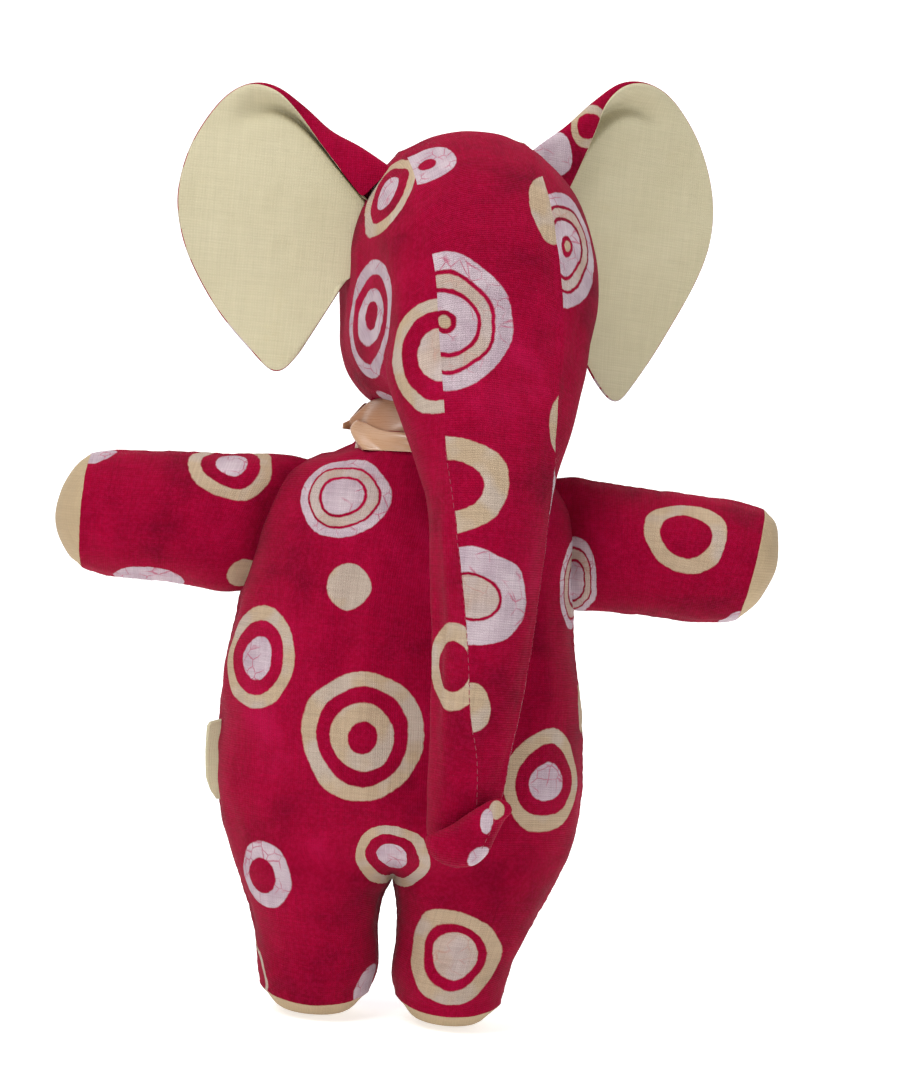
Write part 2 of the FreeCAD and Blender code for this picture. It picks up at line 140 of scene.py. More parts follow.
class Cloth:
    """Panels that share their seam points, welded into one surface."""

    def __init__(self, name, joined=None):
        """joined says which panels run on in one piece of cloth with another, without a seam."""
        self.name, self.joined = name, joined or {}
        self.points, self.uvs, self.faces, self.panel_of, self.panels = [], [], [], [], []

    def add(self, panel, grid, uv, wind=1):
        """Adds a grid of points (rows, columns, 3) as one panel, or part of one."""
        if panel not in self.panels:
            self.panels.append(panel)
        base = sum(len(p) for p in self.points)
        rows, columns = grid.shape[:2]
        self.points.append(grid.reshape(-1, 3))
        self.uvs.append(uv.reshape(-1, 2))
        index = np.arange(rows * columns).reshape(rows, columns) + base
        quads = np.stack([index[:-1, :-1], index[:-1, 1:], index[1:, 1:], index[1:, :-1]], -1).reshape(-1, 4)
        if wind < 0:
            quads = quads[:, ::-1]
        self.faces += quads.tolist()
        self.panel_of += [self.panels.index(panel)] * len(quads)

    def build(self):
        """The welded mesh object, with its UV map and the panel of each face."""
        points, uvs = np.concatenate(self.points), np.concatenate(self.uvs)
        _, first, unique = np.unique(np.round(points, 3), axis=0, return_index=True, return_inverse=True)
        unique = unique.reshape(-1)
        faces, face_uvs, panel_of = [], [], []
        for face, panel in zip(self.faces, self.panel_of):
            welded, corners = [], []
            for corner in face:
                if unique[corner] not in welded:
                    welded.append(int(unique[corner]))
                    corners.append(corner)
            if len(welded) > 2:
                faces.append(welded)
                face_uvs += [uvs[c] for c in corners]
                panel_of.append(panel)
        mesh = smooth_mesh(self.name, to_row(points[first]).tolist(), faces)
        layer = mesh.uv_layers.new(name="cloth")
        layer.data.foreach_set("uv", (np.array(face_uvs) / 1000).astype(np.float32).ravel())
        cut = [self.panels.index(self.joined.get(name, name)) for name in self.panels]
        for key, values in (("panel", panel_of), ("cut", [cut[panel] for panel in panel_of])):
            mesh.attributes.new(key, "INT", "FACE").data.foreach_set("value", np.array(values, np.int32))
        return new_object(self.name, mesh)


def coordinates(mesh):
    return values_of(mesh.vertices, "co", 3).astype(float)


def set_coordinates(mesh, co):
    mesh.vertices.foreach_set("co", co.astype(np.float32).ravel())
    mesh.update()


def normals_of(mesh):
    return values_of(mesh.vertex_normals, "vector", 3).astype(float)


def subdivide(piece, levels=1):
    """Applies a subdivision surface to a piece."""
    modifier = piece.modifiers.new("rounding", "SUBSURF")
    modifier.levels = levels
    modifier.uv_smooth = "PRESERVE_BOUNDARIES"
    graph = bpy.context.evaluated_depsgraph_get()
    rounded = piece.evaluated_get(graph)
    mesh = bpy.data.meshes.new_from_object(rounded, preserve_all_data_layers=True, depsgraph=graph)
    piece.modifiers.clear()
    old = piece.data
    piece.data = mesh
    bpy.data.meshes.remove(old)


def split(piece, panels, pieces):
    """Cuts a welded cloth into pieces: {name: (panel names, test on face centres or None)}. Shading runs on
    across the cuts, because each piece keeps the whole cloth's vertex normals."""
    mesh = piece.data
    co, normals = coordinates(mesh), normals_of(mesh)
    panel = values_of(mesh.attributes["panel"].data, "value", 1, np.int32)
    centres = in_toy(values_of(mesh.polygons, "center", 3))
    corner_uv = values_of(mesh.uv_layers["cloth"].data, "uv", 2)
    loop_vertex = values_of(mesh.loops, "vertex_index", 1, np.int32)
    starts = values_of(mesh.polygons, "loop_start", 1, np.int32)
    totals = values_of(mesh.polygons, "loop_total", 1, np.int32)
    made = {}
    for name, (names, test) in pieces.items():
        wanted = np.isin(panel, [panels.index(n) for n in names])
        if test is not None:
            wanted &= test(centres)
        chosen = np.flatnonzero(wanted)
        loops = np.concatenate([np.arange(starts[f], starts[f] + totals[f]) for f in chosen])
        used, local = np.unique(loop_vertex[loops], return_inverse=True)
        faces, at = [], 0
        for f in chosen:
            faces.append(local[at:at + totals[f]].tolist())
            at += totals[f]
        part = smooth_mesh(f"{name}_cloth", co[used].tolist(), faces)
        layer = part.uv_layers.new(name="cloth")
        layer.data.foreach_set("uv", corner_uv[loops].ravel())
        part.normals_split_custom_set_from_vertices(normals[used].tolist())
        made[name] = new_object(f"{name}_cloth", part)
    bpy.data.objects.remove(piece, do_unlink=True)
    return made


def remember_print(piece):
    """Stores where each point lies at rest, so the print stays on the cloth when it bends."""
    mesh = piece.data
    at = mesh.attributes.new("print_at", "FLOAT_VECTOR", "POINT")
    at.data.foreach_set("vector", coordinates(mesh).astype(np.float32).ravel())


# ---------------------------------------------------------------- shapes


def oval(centre, u, v, half_u, half_v, start, end, count, power=2.0):
    """Points on an oval from one angle to another, evenly spaced along it."""
    angle = np.radians(np.linspace(start, end, 12 * count + 1))
    c, s = np.cos(angle), np.sin(angle)
    c = np.sign(c) * np.abs(c) ** (2 / power)
    s = np.sign(s) * np.abs(s) ** (2 / power)
    line = np.asarray(centre) + np.outer(c * half_u, u) + np.outer(s * half_v, v)
    return along_line(line, np.linspace(0, 1, count + 1))


def flat_uv(grid):
    """UV in millimetres for a grid: across from its middle column, and along its middle column."""
    rows, columns = grid.shape[:2]
    middle = columns // 2
    down = lengths(grid[:, middle])
    uv = np.zeros((rows, columns, 2))
    for k in range(rows):
        run = lengths(grid[k])
        uv[k, :, 0] = run - run[middle]
        uv[k, :, 1] = -down[k]
    return uv


X, Y, Z = np.eye(3)
COLUMNS = 26  # across one leg's front, so twice this across the torso's front
BODY_POWER = 2.1  # 2 makes an ellipse, and more a fuller outline

# level, left edge, right edge, half depth
TORSO = [
    (45.0, -50.4, 51.6, 29.5), (50.0, -51.6, 53.2, 31.0), (60.0, -55.3, 56.2, 33.0),
    (70.0, -57.3, 57.5, 35.0), (80.0, -58.2, 57.8, 36.0), (90.0, -58.6, 57.0, 36.5),
    (100.0, -58.5, 55.9, 36.5), (110.0, -58.2, 54.0, 36.0), (120.0, -56.8, 51.8, 35.5),
    (130.0, -55.6, 50.6, 34.5), (140.0, -54.2, 49.8, 33.5), (150.0, -52.2, 49.6, 32.0),
    (158.0, -50.0, 49.2, 30.0), (166.0, -47.2, 47.2, 27.5), (172.0, -43.0, 43.2, 25.0),
    (176.0, -37.0, 38.5, 23.0), (179.0, -28.0, 32.0, 21.8), (182.0, -22.8, 28.2, 21.4),
    (186.0, -21.5, 26.5, 21.0),
]
CROTCH = 45.0
# level, outer edge, inner edge, half depth, for the leg at -X and the leg at +X
RIGHT_LEG = [
    (4.0, -37.0, -6.5, 17.5), (8.0, -38.8, -4.0, 19.6), (12.0, -39.8, -2.6, 20.8), (20.0, -40.7, -2.6, 21.5),
    (30.0, -43.5, -3.6, 23.5), (38.0, -46.7, -2.7, 26.0), (42.0, -48.5, -1.6, 27.8), (45.0, -50.4, 0.5, 29.5),
]
LEFT_LEG = [
    (4.0, 36.8, 6.5, 17.5), (8.0, 38.2, 4.4, 19.6), (12.0, 38.8, 3.4, 20.8), (20.0, 40.4, 3.5, 21.5),
    (30.0, 44.1, 3.6, 23.5), (38.0, 47.9, 2.5, 26.0), (42.0, 49.9, 1.7, 27.8), (45.0, 51.6, 0.5, 29.5),
]
SPLIT_LEVEL = 62.0  # the two leg bulges begin to part below this
SOLE_SEAM = 7.0
SOLE_CROWN = 1.1  # how far the nearly flat part of the sole rises from its middle outwards
SOLE_FLAT = 0.62  # share of the sole that is nearly flat


def facing(front):
    """Which way the front or the back half of an outline bulges."""
    return -Y if front else Y


def torso_row(level, front):
    left, right, depth = smooth(TORSO, level)
    centre = [(left + right) / 2, 0, level]
    return oval(centre, -X, facing(front), (right - left) / 2, depth, 0, 180, 2 * COLUMNS, BODY_POWER)


def leg_row(leg, level, front):
    """From the side seam to the inseam."""
    outer, inner, depth = smooth(leg, level)
    centre = [(outer + inner) / 2, 0, level]
    out = X if outer > inner else -X
    return oval(centre, out, facing(front), abs(outer - inner) / 2, depth, 0, 180, COLUMNS, BODY_POWER)


# The legs' fronts and backs are one piece of cloth with the body's
BODY_CUTS = {
    "right_leg_front": "torso_front", "left_leg_front": "torso_front", "right_leg_back": "torso_back_right",
    "left_leg_back": "torso_back_left",
}


def body_cloth():
    cloth = Cloth("body_cloth", BODY_CUTS)
    levels = np.concatenate([np.linspace(186, 64, 42), np.linspace(61.5, CROTCH, 8)])
    for front in (True, False):
        side = "front" if front else "back"
        rows = []
        for level in levels:
            row = torso_row(level, front)
            if level < SPLIT_LEVEL:
                part = ((SPLIT_LEVEL - level) / (SPLIT_LEVEL - CROTCH)) ** 2.2
                low, high, depth = smooth(TORSO, level)
                right = leg_row([(k, low, 0.5, depth) for k in (level, level + 1)], level, front)
                left = leg_row([(k, high, 0.5, depth) for k in (level, level + 1)], level, front)[::-1]
                legs = np.concatenate([right, left[1:]])
                legs[:, 2] = level
                row = row + (legs - row) * part
            rows.append(row)
        rows = np.array(rows)
        uv = flat_uv(rows)
        if front:
            cloth.add("torso_front", rows, uv, 1)
        else:
            cloth.add("torso_back_right", rows[:, : COLUMNS + 1], uv[:, : COLUMNS + 1], -1)
            cloth.add("torso_back_left", rows[:, COLUMNS:], uv[:, COLUMNS:], -1)
        for leg, name, mirror in ((RIGHT_LEG, "right", 0), (LEFT_LEG, "left", 1)):
            down = np.linspace(CROTCH, SOLE_SEAM, 14)
            grid = np.array([leg_row(leg, level, front) for level in down])
            seam_rise = step((CROTCH - down) / (CROTCH - SOLE_SEAM)) * 1.6
            share = np.linspace(0, 1, COLUMNS + 1)
            grid[:, :, 2] += np.outer(seam_rise, np.cos(2 * np.pi * share))
            first = uv[-1, : COLUMNS + 1] if not mirror else uv[-1, COLUMNS:][::-1]
            leg_uv = flat_uv(grid) * [-1 if mirror else 1, 1] + first[COLUMNS // 2]
            leg_uv[0] = first
            wind = (1 if front else -1) * (-1 if mirror else 1)
            cloth.add(f"{name}_leg_{side}", grid, leg_uv, wind)
            pad = []
            ring = grid[-1]
            middle_point = np.array([ring[:, 0].mean(), 0, 0])
            for share_in in (1.0, 0.95, 0.87, 0.74, 0.56, 0.36, 0.18, 0.0):
                rim = max(0.0, (share_in - SOLE_FLAT) / (1 - SOLE_FLAT)) ** 1.6
                level = SOLE_CROWN + (ring[:, 2] - SOLE_CROWN) * rim
                level = np.where(share_in < SOLE_FLAT, SOLE_CROWN * (share_in / SOLE_FLAT) ** 2, level)
                row = middle_point + (ring - middle_point) * share_in
                row[:, 2] = level
                pad.append(row)
            pad = np.array(pad)
            cloth.add(f"{name}_sole", pad, pad[:, :, :2].copy(), wind)
    return cloth


# Arms: distance out along X, centre level, half height, half depth, tilt of the ring towards the shoulder
RIGHT_ARM = [
    (-42.0, 154.0, 20.5, 5.0, 0.355), (-49.0, 153.8, 21.8, 8.5, 0.355), (-53.0, 153.6, 22.2, 12.0, 0.34),
    (-58.0, 153.5, 22.0, 15.0, 0.29), (-66.0, 153.5, 21.2, 17.4, 0.19), (-76.0, 153.6, 20.6, 18.3, 0.1),
    (-88.0, 153.2, 20.1, 18.0, 0.03), (-98.0, 152.9, 19.7, 17.5, 0.0), (-106.5, 153.0, 17.9, 16.0, 0.0),
    (-111.5, 152.7, 14.2, 13.0, 0.0), (-115.0, 152.4, 9.0, 8.4, 0.0), (-116.6, 152.2, 4.0, 3.8, 0.0),
    (-116.95, 152.2, 0.0, 0.0, 0.0),
]
LEFT_ARM = [
    (38.0, 155.0, 19.0, 5.0, -0.13), (46.5, 155.8, 20.5, 8.5, -0.13), (50.5, 155.9, 20.7, 12.0, -0.12),
    (56.0, 155.8, 20.2, 15.0, -0.09), (64.0, 155.6, 19.8, 17.4, -0.03), (76.0, 155.1, 19.6, 18.3, 0.02),
    (88.0, 154.5, 19.6, 18.0, 0.09), (97.0, 154.3, 19.1, 17.5, 0.14), (105.0, 154.0, 17.6, 16.0, 0.17),
    (109.5, 155.3, 14.0, 13.0, 0.14), (112.3, 156.6, 9.0, 8.4, 0.08), (113.5, 157.2, 4.0, 3.8, 0.0),
    (113.7, 157.3, 0.0, 0.0, 0.0),
]
ARM_COLUMNS = 20
ARM_ROWS, PAW_ROWS = 28, 12
PAW_ROW = 8  # the key row where the paw pad's seam runs


def arm_cloth(side, keys):
    cloth = Cloth(f"{side}_arm_cloth")
    keys = [(k,) + row for k, row in enumerate(keys)]
    tip = len(keys) - 1
    along = np.concatenate([np.linspace(0, PAW_ROW, ARM_ROWS), np.linspace(PAW_ROW, tip, PAW_ROWS)])
    stations = smooth(keys, along)
    stations[-1, 2:4] = 0
    outward = -1 if side == "right" else 1
    for front in (True, False):
        rows = []
        for x, centre, height, depth, tilt in stations:
            halves = max(height, 0), max(depth, 0)
            row = oval([x, 0, centre], Z, facing(front), *halves, 0, 180, ARM_COLUMNS)
            row[:, 0] += (row[:, 2] - centre) * tilt
            rows.append(row)
        rows = np.array(rows)
        uv = flat_uv(rows)
        wind = (1 if front else -1) * -outward
        name = "front" if front else "back"
        cloth.add(f"arm_{name}", rows[:ARM_ROWS], uv[:ARM_ROWS], wind)
        cloth.add("paw", rows[ARM_ROWS:], rows[ARM_ROWS:][:, :, 1:], wind)
    return cloth


# Head and trunk: one tube, from the nape over the crown and down to the trunk's tip. Each row is a slice
# between the outer line (crown, forehead, front of the trunk) and the inner line (nape, chin, back of the
# trunk).
HEAD_TURN = math.radians(18)
FACE = np.array([math.sin(HEAD_TURN), -math.cos(HEAD_TURN), 0])
ACROSS = np.array([math.cos(HEAD_TURN), math.sin(HEAD_TURN), 0])
HEAD_AT = np.array([6.9, -1.0, 0])
# outer forward, outer level, inner forward, inner level, half width, fullness inside, side shift, and the
# gusset's two edges as distances across from the outer line
HEAD = [
    (-35.6, 195.9, -34.4, 195.1, 1.2, 2.0, 0.0, -0.7, 0.7),
    (-37.0, 197.0, -33.0, 194.0, 8.0, 2.2, 0.0, -5.0, 5.0),
    (-43.5, 208.0, -30.0, 193.5, 16.5, 2.6, 0.0, -14.0, 14.0),
    (-46.5, 224.0, -25.0, 193.5, 24.5, 2.9, 0.0, -20.0, 20.0),
    (-46.0, 241.0, -19.0, 193.5, 29.8, 3.2, 0.0, -21.0, 21.0),
    (-40.5, 258.0, -12.0, 193.5, 33.8, 3.4, 0.0, -21.0, 21.0),
    (-29.0, 272.5, -5.0, 193.5, 36.8, 3.6, 0.0, -23.0, 18.5),
    (-13.0, 281.5, 1.0, 193.5, 38.4, 3.7, 0.0, -25.0, 15.5),
    (4.0, 283.5, 7.0, 193.5, 38.6, 3.7, 0.0, -28.0, 13.0),
    (20.0, 278.5, 12.0, 193.5, 37.6, 3.6, 0.0, -29.5, 11.5),
    (33.0, 268.0, 16.5, 193.5, 36.0, 3.4, 0.0, -29.5, 12.0),
    (42.0, 253.0, 20.5, 193.5, 34.4, 3.1, -0.5, -27.0, 14.5),
    (47.0, 237.0, 24.5, 193.5, 32.6, 2.7, -1.2, -23.5, 17.5),
    (50.0, 222.0, 27.0, 192.0, 31.5, 2.5, -2.0, -21.3, 19.5),
    (54.0, 208.0, 27.5, 189.0, 29.5, 2.3, -2.8, -19.5, 19.0),
    (59.0, 195.0, 27.0, 183.5, 26.5, 2.2, -2.9, -18.7, 18.0),
    (63.0, 180.5, 29.5, 173.5, 21.8, 2.1, -2.9, -18.0, 18.4),
    (66.2, 167.0, 33.0, 164.0, 18.6, 2.1, -2.7, -16.0, 19.3),
    (68.3, 152.0, 36.0, 151.0, 16.7, 2.0, -2.6, -13.8, 18.4),
    (68.6, 136.0, 37.6, 136.0, 15.5, 2.0, -2.4, -10.8, 16.8),
    (67.5, 120.0, 38.8, 120.0, 14.4, 2.0, -2.2, -8.0, 14.8),
    (65.3, 104.0, 39.3, 104.0, 13.2, 2.0, -2.0, -5.6, 12.8),
    (63.0, 90.0, 39.3, 90.0, 12.0, 2.0, -1.8, -2.0, 10.4),
    (60.3, 77.0, 38.8, 77.0, 11.2, 2.0, -1.8, 0.0, 9.2),
    (58.0, 66.5, 38.8, 66.5, 10.2, 2.0, -1.9, 1.5, 8.6),
    (55.5, 60.5, 41.0, 60.5, 8.0, 2.0, -1.9, 1.2, 8.0),
    (51.5, 57.2, 45.0, 57.2, 3.4, 2.0, -1.9, 0.4, 3.0),
    (48.6, 56.3, 48.0, 56.3, 0.5, 2.0, -1.9, -0.3, 0.3),
]
HEAD_ROWS = 118
GUSSET_COLUMNS = 14
SIDE_COLUMNS = 30


def head_at(across, forward, level):
    return HEAD_AT + ACROSS * across + FACE * forward + Z * level


def head_slice(row):
    """The gusset's points, then each side panel's, for one slice."""
    outer_f, outer_w, inner_f, inner_w, half, fullness, shift, edge_low, edge_high = row
    angle = np.linspace(0, np.pi, 361)
    c, s = np.cos(angle), np.sin(angle)
    power = np.where(angle < np.pi / 2, 2.15, fullness)
    along = np.sign(c) * np.abs(c) ** (2 / power)
    wide = np.abs(s) ** (2 / power)
    forward = (outer_f + inner_f) / 2 + along * (outer_f - inner_f) / 2
    level = (outer_w + inner_w) / 2 + along * (outer_w - inner_w) / 2
    halves = []
    for sign in (1, -1):
        line = np.array([head_at(shift + sign * half * w, f, lev) for w, f, lev in zip(wide, forward, level)])
        halves.append(line)
    run = lengths(halves[0])
    whole = np.concatenate([halves[1][::-1], halves[0][1:]])
    distance = np.concatenate([-run[::-1], run[1:]])

    def read(at):
        return np.stack([np.interp(at, distance, whole[:, k]) for k in range(3)], axis=-1)

    low, high = max(edge_low, -run[-1] * 0.9), min(edge_high, run[-1] * 0.9)
    gusset = np.linspace(low, high, GUSSET_COLUMNS + 1)
    right = np.linspace(low, -run[-1], SIDE_COLUMNS + 1)
    left = np.linspace(high, run[-1], SIDE_COLUMNS + 1)
    return (read(gusset), gusset), (read(right), right), (read(left), left)


def head_cloth():
    keys = np.array([(k,) + row for k, row in enumerate(HEAD)], float)
    fine = smooth(keys, np.linspace(0, len(HEAD) - 1, 800))
    run = lengths(fine[:, :2])
    even = np.linspace(0, run[-1], HEAD_ROWS)
    rows = np.stack([np.interp(even, run, column) for column in fine.T], axis=-1)
    slices = [head_slice(row) for row in rows]
    cloth = Cloth("head_cloth")
    for k, (name, wind) in enumerate((("gusset", 1), ("side_right", -1), ("side_left", 1))):
        grid = np.array([s[k][0] for s in slices])
        uv = np.zeros(grid.shape[:2] + (2,))
        uv[:, :, 0] = np.array([s[k][1] for s in slices])
        uv[:, :, 1] = -lengths(rows[:, :2])[:, None]
        cloth.add(name, grid, uv, wind)
        if name == "gusset":
            seams = {"right": grid[:, 0], "left": grid[:, -1]}
    return cloth, seams


# Ears, as (out, up) from the ear's root: the line where the ear meets the head, then the edge as seen from
# in front. Where the lining is pleated, an edge point also has the place where the lining starts.
RIGHT_EAR = {
    "root": (-31.2, -13.0, 247.0), "sweep": 2.0, "out": -1,
    "attach": [(-2.0, -14.0), (-4.5, 0.0), (-9.5, 9.0)],
    "edge": [
        (2.9, -18.0), (6.7, -28.0), (12.5, -40.0), (18.8, -45.5), (27.4, -39.0), (39.0, -27.0),
        (48.6, -12.0), (52.9, 1.0), (53.2, 12.0), (50.0, 25.0), (42.8, 37.5), (34.6, 43.5),
        (26.0, 43.6, 25.6, 42.0), (16.4, 38.0, 18.2, 35.8), (7.7, 31.5, 11.2, 27.6),
        (-2.0, 27.3, 4.0, 19.5), (-12.5, 21.5, -4.0, 11.0),
    ],
}
LEFT_EAR = {
    "root": (41.6, 10.5, 249.5), "sweep": 38.0, "out": 1,
    "attach": [(3.0, -21.0), (-4.0, 0.0), (-11.5, 14.0)],
    "edge": [
        (4.5, -27.0), (8.5, -34.0), (15.7, -42.5), (22.2, -46.0), (29.2, -39.0), (39.2, -24.5),
        (48.7, -5.0), (53.2, 12.0), (52.2, 28.0), (45.2, 43.0), (33.7, 54.4), (22.0, 58.6),
        (10.0, 57.0, 10.8, 56.0), (-0.5, 49.0, 2.6, 47.4), (-10.0, 39.5, -1.6, 35.5),
        (-19.5, 32.0, -5.4, 25.5), (-26.0, 26.0, -8.6, 18.0),
    ],
}
EAR_ACROSS, EAR_OUT, EAR_ROLL = 96, 34, 14  # cells along an ear's edge, out to it, and of those round it
EAR_SEAM = 0.35  # how far the back wraps round the edge where there is no pleat


def ear_edge(ear):
    """Evenly spaced points along the edge and, for each, where the lining starts on the front."""
    keys = []
    for k, point in enumerate(ear["edge"]):
        edge = np.array(point[:2])
        seam = np.array(point[2:]) if len(point) == 4 else edge - EAR_SEAM * unit(edge)
        keys.append((k, *edge, *seam))
    return along_line(smooth(keys, np.linspace(0, len(keys) - 1, 600)), np.linspace(0, 1, EAR_ACROSS + 1))


def ear_axes(ear):
    """Which way an ear points, and which way its front faces."""
    c, s = math.cos(math.radians(ear["sweep"])), math.sin(math.radians(ear["sweep"]))
    return np.array([ear["out"] * c, s, 0.0]), np.array([ear["out"] * s, -c, 0.0])


def pleat_depth(inwards, valley_at, fold):
    """How far both layers sink into the pleat's valley, and rise beside it, this far in from the seam."""
    valley = -5.4 * np.exp(-(((inwards - valley_at) / (0.37 * valley_at)) ** 2))
    return fold * (valley + 1.8 * np.exp(-(((inwards - 1.5) / 2.6) ** 2)))


def ear_layers(ear):
    """The lining and the back of one ear, on the same rows from where it meets the head to its edge, and the
    map of each. The back wraps round the edge to a seam that lies on the front, most of all where the lining
    is pleated."""
    out, front = ear_axes(ear)
    attach = along_line(np.array(ear["attach"], float), np.linspace(0, 1, EAR_ACROSS + 1))
    layers = {"lining": [], "back": []}
    maps = {"lining": [], "back": []}
    for end_share, start, row in zip(np.linspace(0, 1, EAR_ACROSS + 1), attach, ear_edge(ear)):
        edge, seam = row[:2], row[2:]
        length = np.linalg.norm(seam - start)
        pleat = step((np.linalg.norm(edge - seam) - EAR_SEAM) / 6)
        lift = 0.35 + 3.2 * pleat
        fold = math.sqrt(min(1.0, length / 30)) * step((end_share - 0.64) / 0.12)
        valley_at = min(8.5 + 7.0 * step((end_share - 0.72) / 0.15), 0.75 * length)
        share = 1 - (1 - np.linspace(0, 1, EAR_OUT + 1)) ** 1.25
        inwards = length * (1 - share)
        rise = lift * share**3 + 1.0 * np.sin(np.pi * share) + pleat_depth(inwards, valley_at, fold)
        angle = np.radians(np.linspace(-90, 90, EAR_ROLL + 1))
        behind = -0.8 - 1.2 * pleat
        flat_share = np.linspace(0, 1, EAR_OUT - EAR_ROLL + 1)[:-1]
        flat_part = start + np.outer(flat_share, seam - start)
        back = np.vstack([flat_part, seam + np.outer(np.cos(angle), edge - seam)])
        rolled = np.where(angle < 0, -behind, lift) * np.sin(angle) + pleat_depth(0.0, valley_at, fold)
        back_rise = behind + pleat_depth(length * (1 - flat_share), valley_at, fold)
        back_rise = np.concatenate([back_rise, rolled])
        lining = start + np.outer(share, seam - start)
        for name, at, up in (("lining", lining, rise), ("back", back, back_rise)):
            x, z = at[:, 0], at[:, 1]
            reach = np.minimum(np.linalg.norm(at - start, axis=1), length)
            cup = 6.0 * (reach / 55.0) ** 2 * (0.6 + 0.4 * np.cos((z - 5) / 30))
            ripple = 0.5 * np.sin(z / 9.0 + 1.0) * np.clip(reach / 30, 0, 1)
            points = np.array(ear["root"]) + np.outer(x, out) + np.outer(z, Z)
            layers[name].append(points + np.outer(up + cup + ripple - 0.6, front))
            maps[name].append(np.stack([x, z], axis=-1))
    return {name: (np.array(layers[name]), np.array(maps[name])) for name in layers}


def grid_normals(grid):
    du, dv = np.gradient(grid, axis=0), np.gradient(grid, axis=1)
    n = np.cross(du, dv)
    return n / np.maximum(np.linalg.norm(n, axis=2, keepdims=True), 1e-9)


def sheet_piece(name, grid, wind=1, uv=None):
    cloth = Cloth(name)
    cloth.add("sheet", grid, flat_uv(grid) if uv is None else uv, wind)
    return cloth.build()


def ear_pieces(side, ear):
    pieces = {}
    for name, (grid, uv) in ear_layers(ear).items():
        middle = grid_normals(grid[:, :18]).reshape(-1, 3).mean(axis=0)
        faces_front = middle[1] < 0
        wind = 1 if faces_front == (name == "lining") else -1
        pieces[name] = sheet_piece(f"{side}_ear_{name}_cloth", grid, wind, uv)
    return pieces


def finish_piece(piece, material):
    remember_print(piece)
    piece.data.materials.append(material)
    return piece


# ---------------------------------------------------------------- materials

WAX = {"cream": (1, 0, 0), "white": (0, 1, 0), "red": (0, 0, 0), "gold": (1, 0.35, 0)}
# Print motifs: bands from the middle outwards, as (colour, outer edge as a share of the motif's radius)
TARGET = [("red", 0.24), ("cream", 0.52), ("red", 0.77), ("cream", 1.0)]
EYE = [("white", 0.4), ("red", 0.72), ("cream", 1.0)]
CREAM_EYE = [("gold", 0.5), ("red", 0.7), ("cream", 1.0)]
MEDAL = [("white", 0.46), ("red", 0.53), ("gold", 0.73), ("red", 0.79), ("white", 1.0)]
SUN = [
    ("cream", 0.09), ("red", 0.17), ("white", 0.46), ("red", 0.53), ("gold", 0.7), ("red", 0.76),
    ("white", 1.0),
]
SHELL = [("gold", 0.45), ("red", 0.77), ("cream", 1.0)]
THIN_HOOP = [("red", 0.9), ("cream", 1.0)]
DOT_HOOP = [("red", 0.3), ("white", 1.0)]
HOOP = [("red", 0.62), ("cream", 1.0)]
PALE_HOOP = [("red", 0.55), ("white", 1.0)]
SPOT = [("cream", 1.0)]
PALE_SPOT = [("white", 1.0)]
EGG = [("gold", 0.44), ("red", 0.5), ("white", 1.0)]
DROP = [("red", 0.25), ("white", 0.5), ("red", 0.75), ("white", 1.0)]
WIDE_HOOP = [("red", 0.55), ("cream", 1.0)]

# Where the motifs lie on each panel: x, z, radius across, radius up, bands and, where it is given, how deep
# the motif reaches through the cloth. Their depth is looked up on the cloth.
PRINT = {
    "front": [
        (-13.5, 88.5, 19.5, 19.5, TARGET), (-26.0, 164.5, 15.3, 12.9, MEDAL), (-21.5, 136.0, 7.0, 7.0, SPOT),
        (-49.0, 111.0, 14.5, 16.0, EYE), (47.0, 79.5, 14.5, 16.8, EYE), (60.0, 105.0, 6.0, 8.0, SPOT),
        (0.0, 51.5, 12.0, 10.8, EYE, 60.0), (-41.0, 41.5, 10.5, 11.2, PALE_HOOP),
        (22.3, 21.5, 15.2, 15.2, CREAM_EYE), (-44.0, 3.5, 13.5, 13.5, THIN_HOOP),
        (-5.0, 8.0, 8.0, 8.0, PALE_SPOT), (49.8, 143.5, 7.0, 14.5, MEDAL), (24.0, 125.0, 12.0, 12.0, EYE),
    ],
    "right_arm_front": [
        (-62.5, 172.5, 13.8, 14.0, EYE), (-85.0, 133.0, 11.0, 5.0, PALE_SPOT),
        (-105.5, 171.0, 6.0, 6.0, PALE_SPOT), (-56.0, 137.5, 5.0, 5.5, SPOT),
    ],
    "left_arm_front": [
        (84.5, 161.8, 13.0, 11.8, HOOP), (108.5, 149.0, 5.0, 9.0, PALE_SPOT), (50.0, 143.5, 7.0, 14.0, MEDAL),
    ],
    "gusset": [
        (1.5, 222.5, 21.0, 21.5, SUN), (-9.5, 272.5, 10.0, 8.5, DOT_HOOP), (32.5, 263.0, 8.0, 13.5, SPOT),
        (8.5, 171.0, 17.0, 14.0, WIDE_HOOP), (18.0, 136.5, 17.0, 14.5, EGG), (21.0, 100.5, 6.0, 7.0, SPOT),
        (44.0, 192.5, 9.0, 12.0, SPOT),
    ],
    "side_right": [
        (-20.5, 263.0, 9.5, 15.5, EYE), (-22.0, 222.0, 9.5, 18.5, DROP), (2.0, 212.0, 16.5, 18.0, SHELL),
        (13.0, 113.0, 10.0, 13.5, HOOP), (-14.0, 197.0, 5.0, 5.0, PALE_SPOT),
    ],
    "side_left": [
        (38.5, 250.5, 11.0, 20.0, SUN), (38.5, 165.0, 5.0, 14.0, PALE_SPOT),
        (33.4, 95.0, 4.0, 13.5, PALE_SPOT),
    ],
    "tip": [
        (31.2, 69.5, 2.6, 3.0, SPOT), (28.0, 65.5, 2.2, 4.0, PALE_SPOT), (27.5, 53.0, 4.2, 3.6, PALE_SPOT),
        (21.0, 49.3, 4.0, 1.6, SPOT),
    ],
    "left_ear_back": [
        (32.0, 279.5, 6.5, 7.5, PALE_SPOT), (42.5, 289.5, 6.5, 7.5, HOOP),
    ],
}
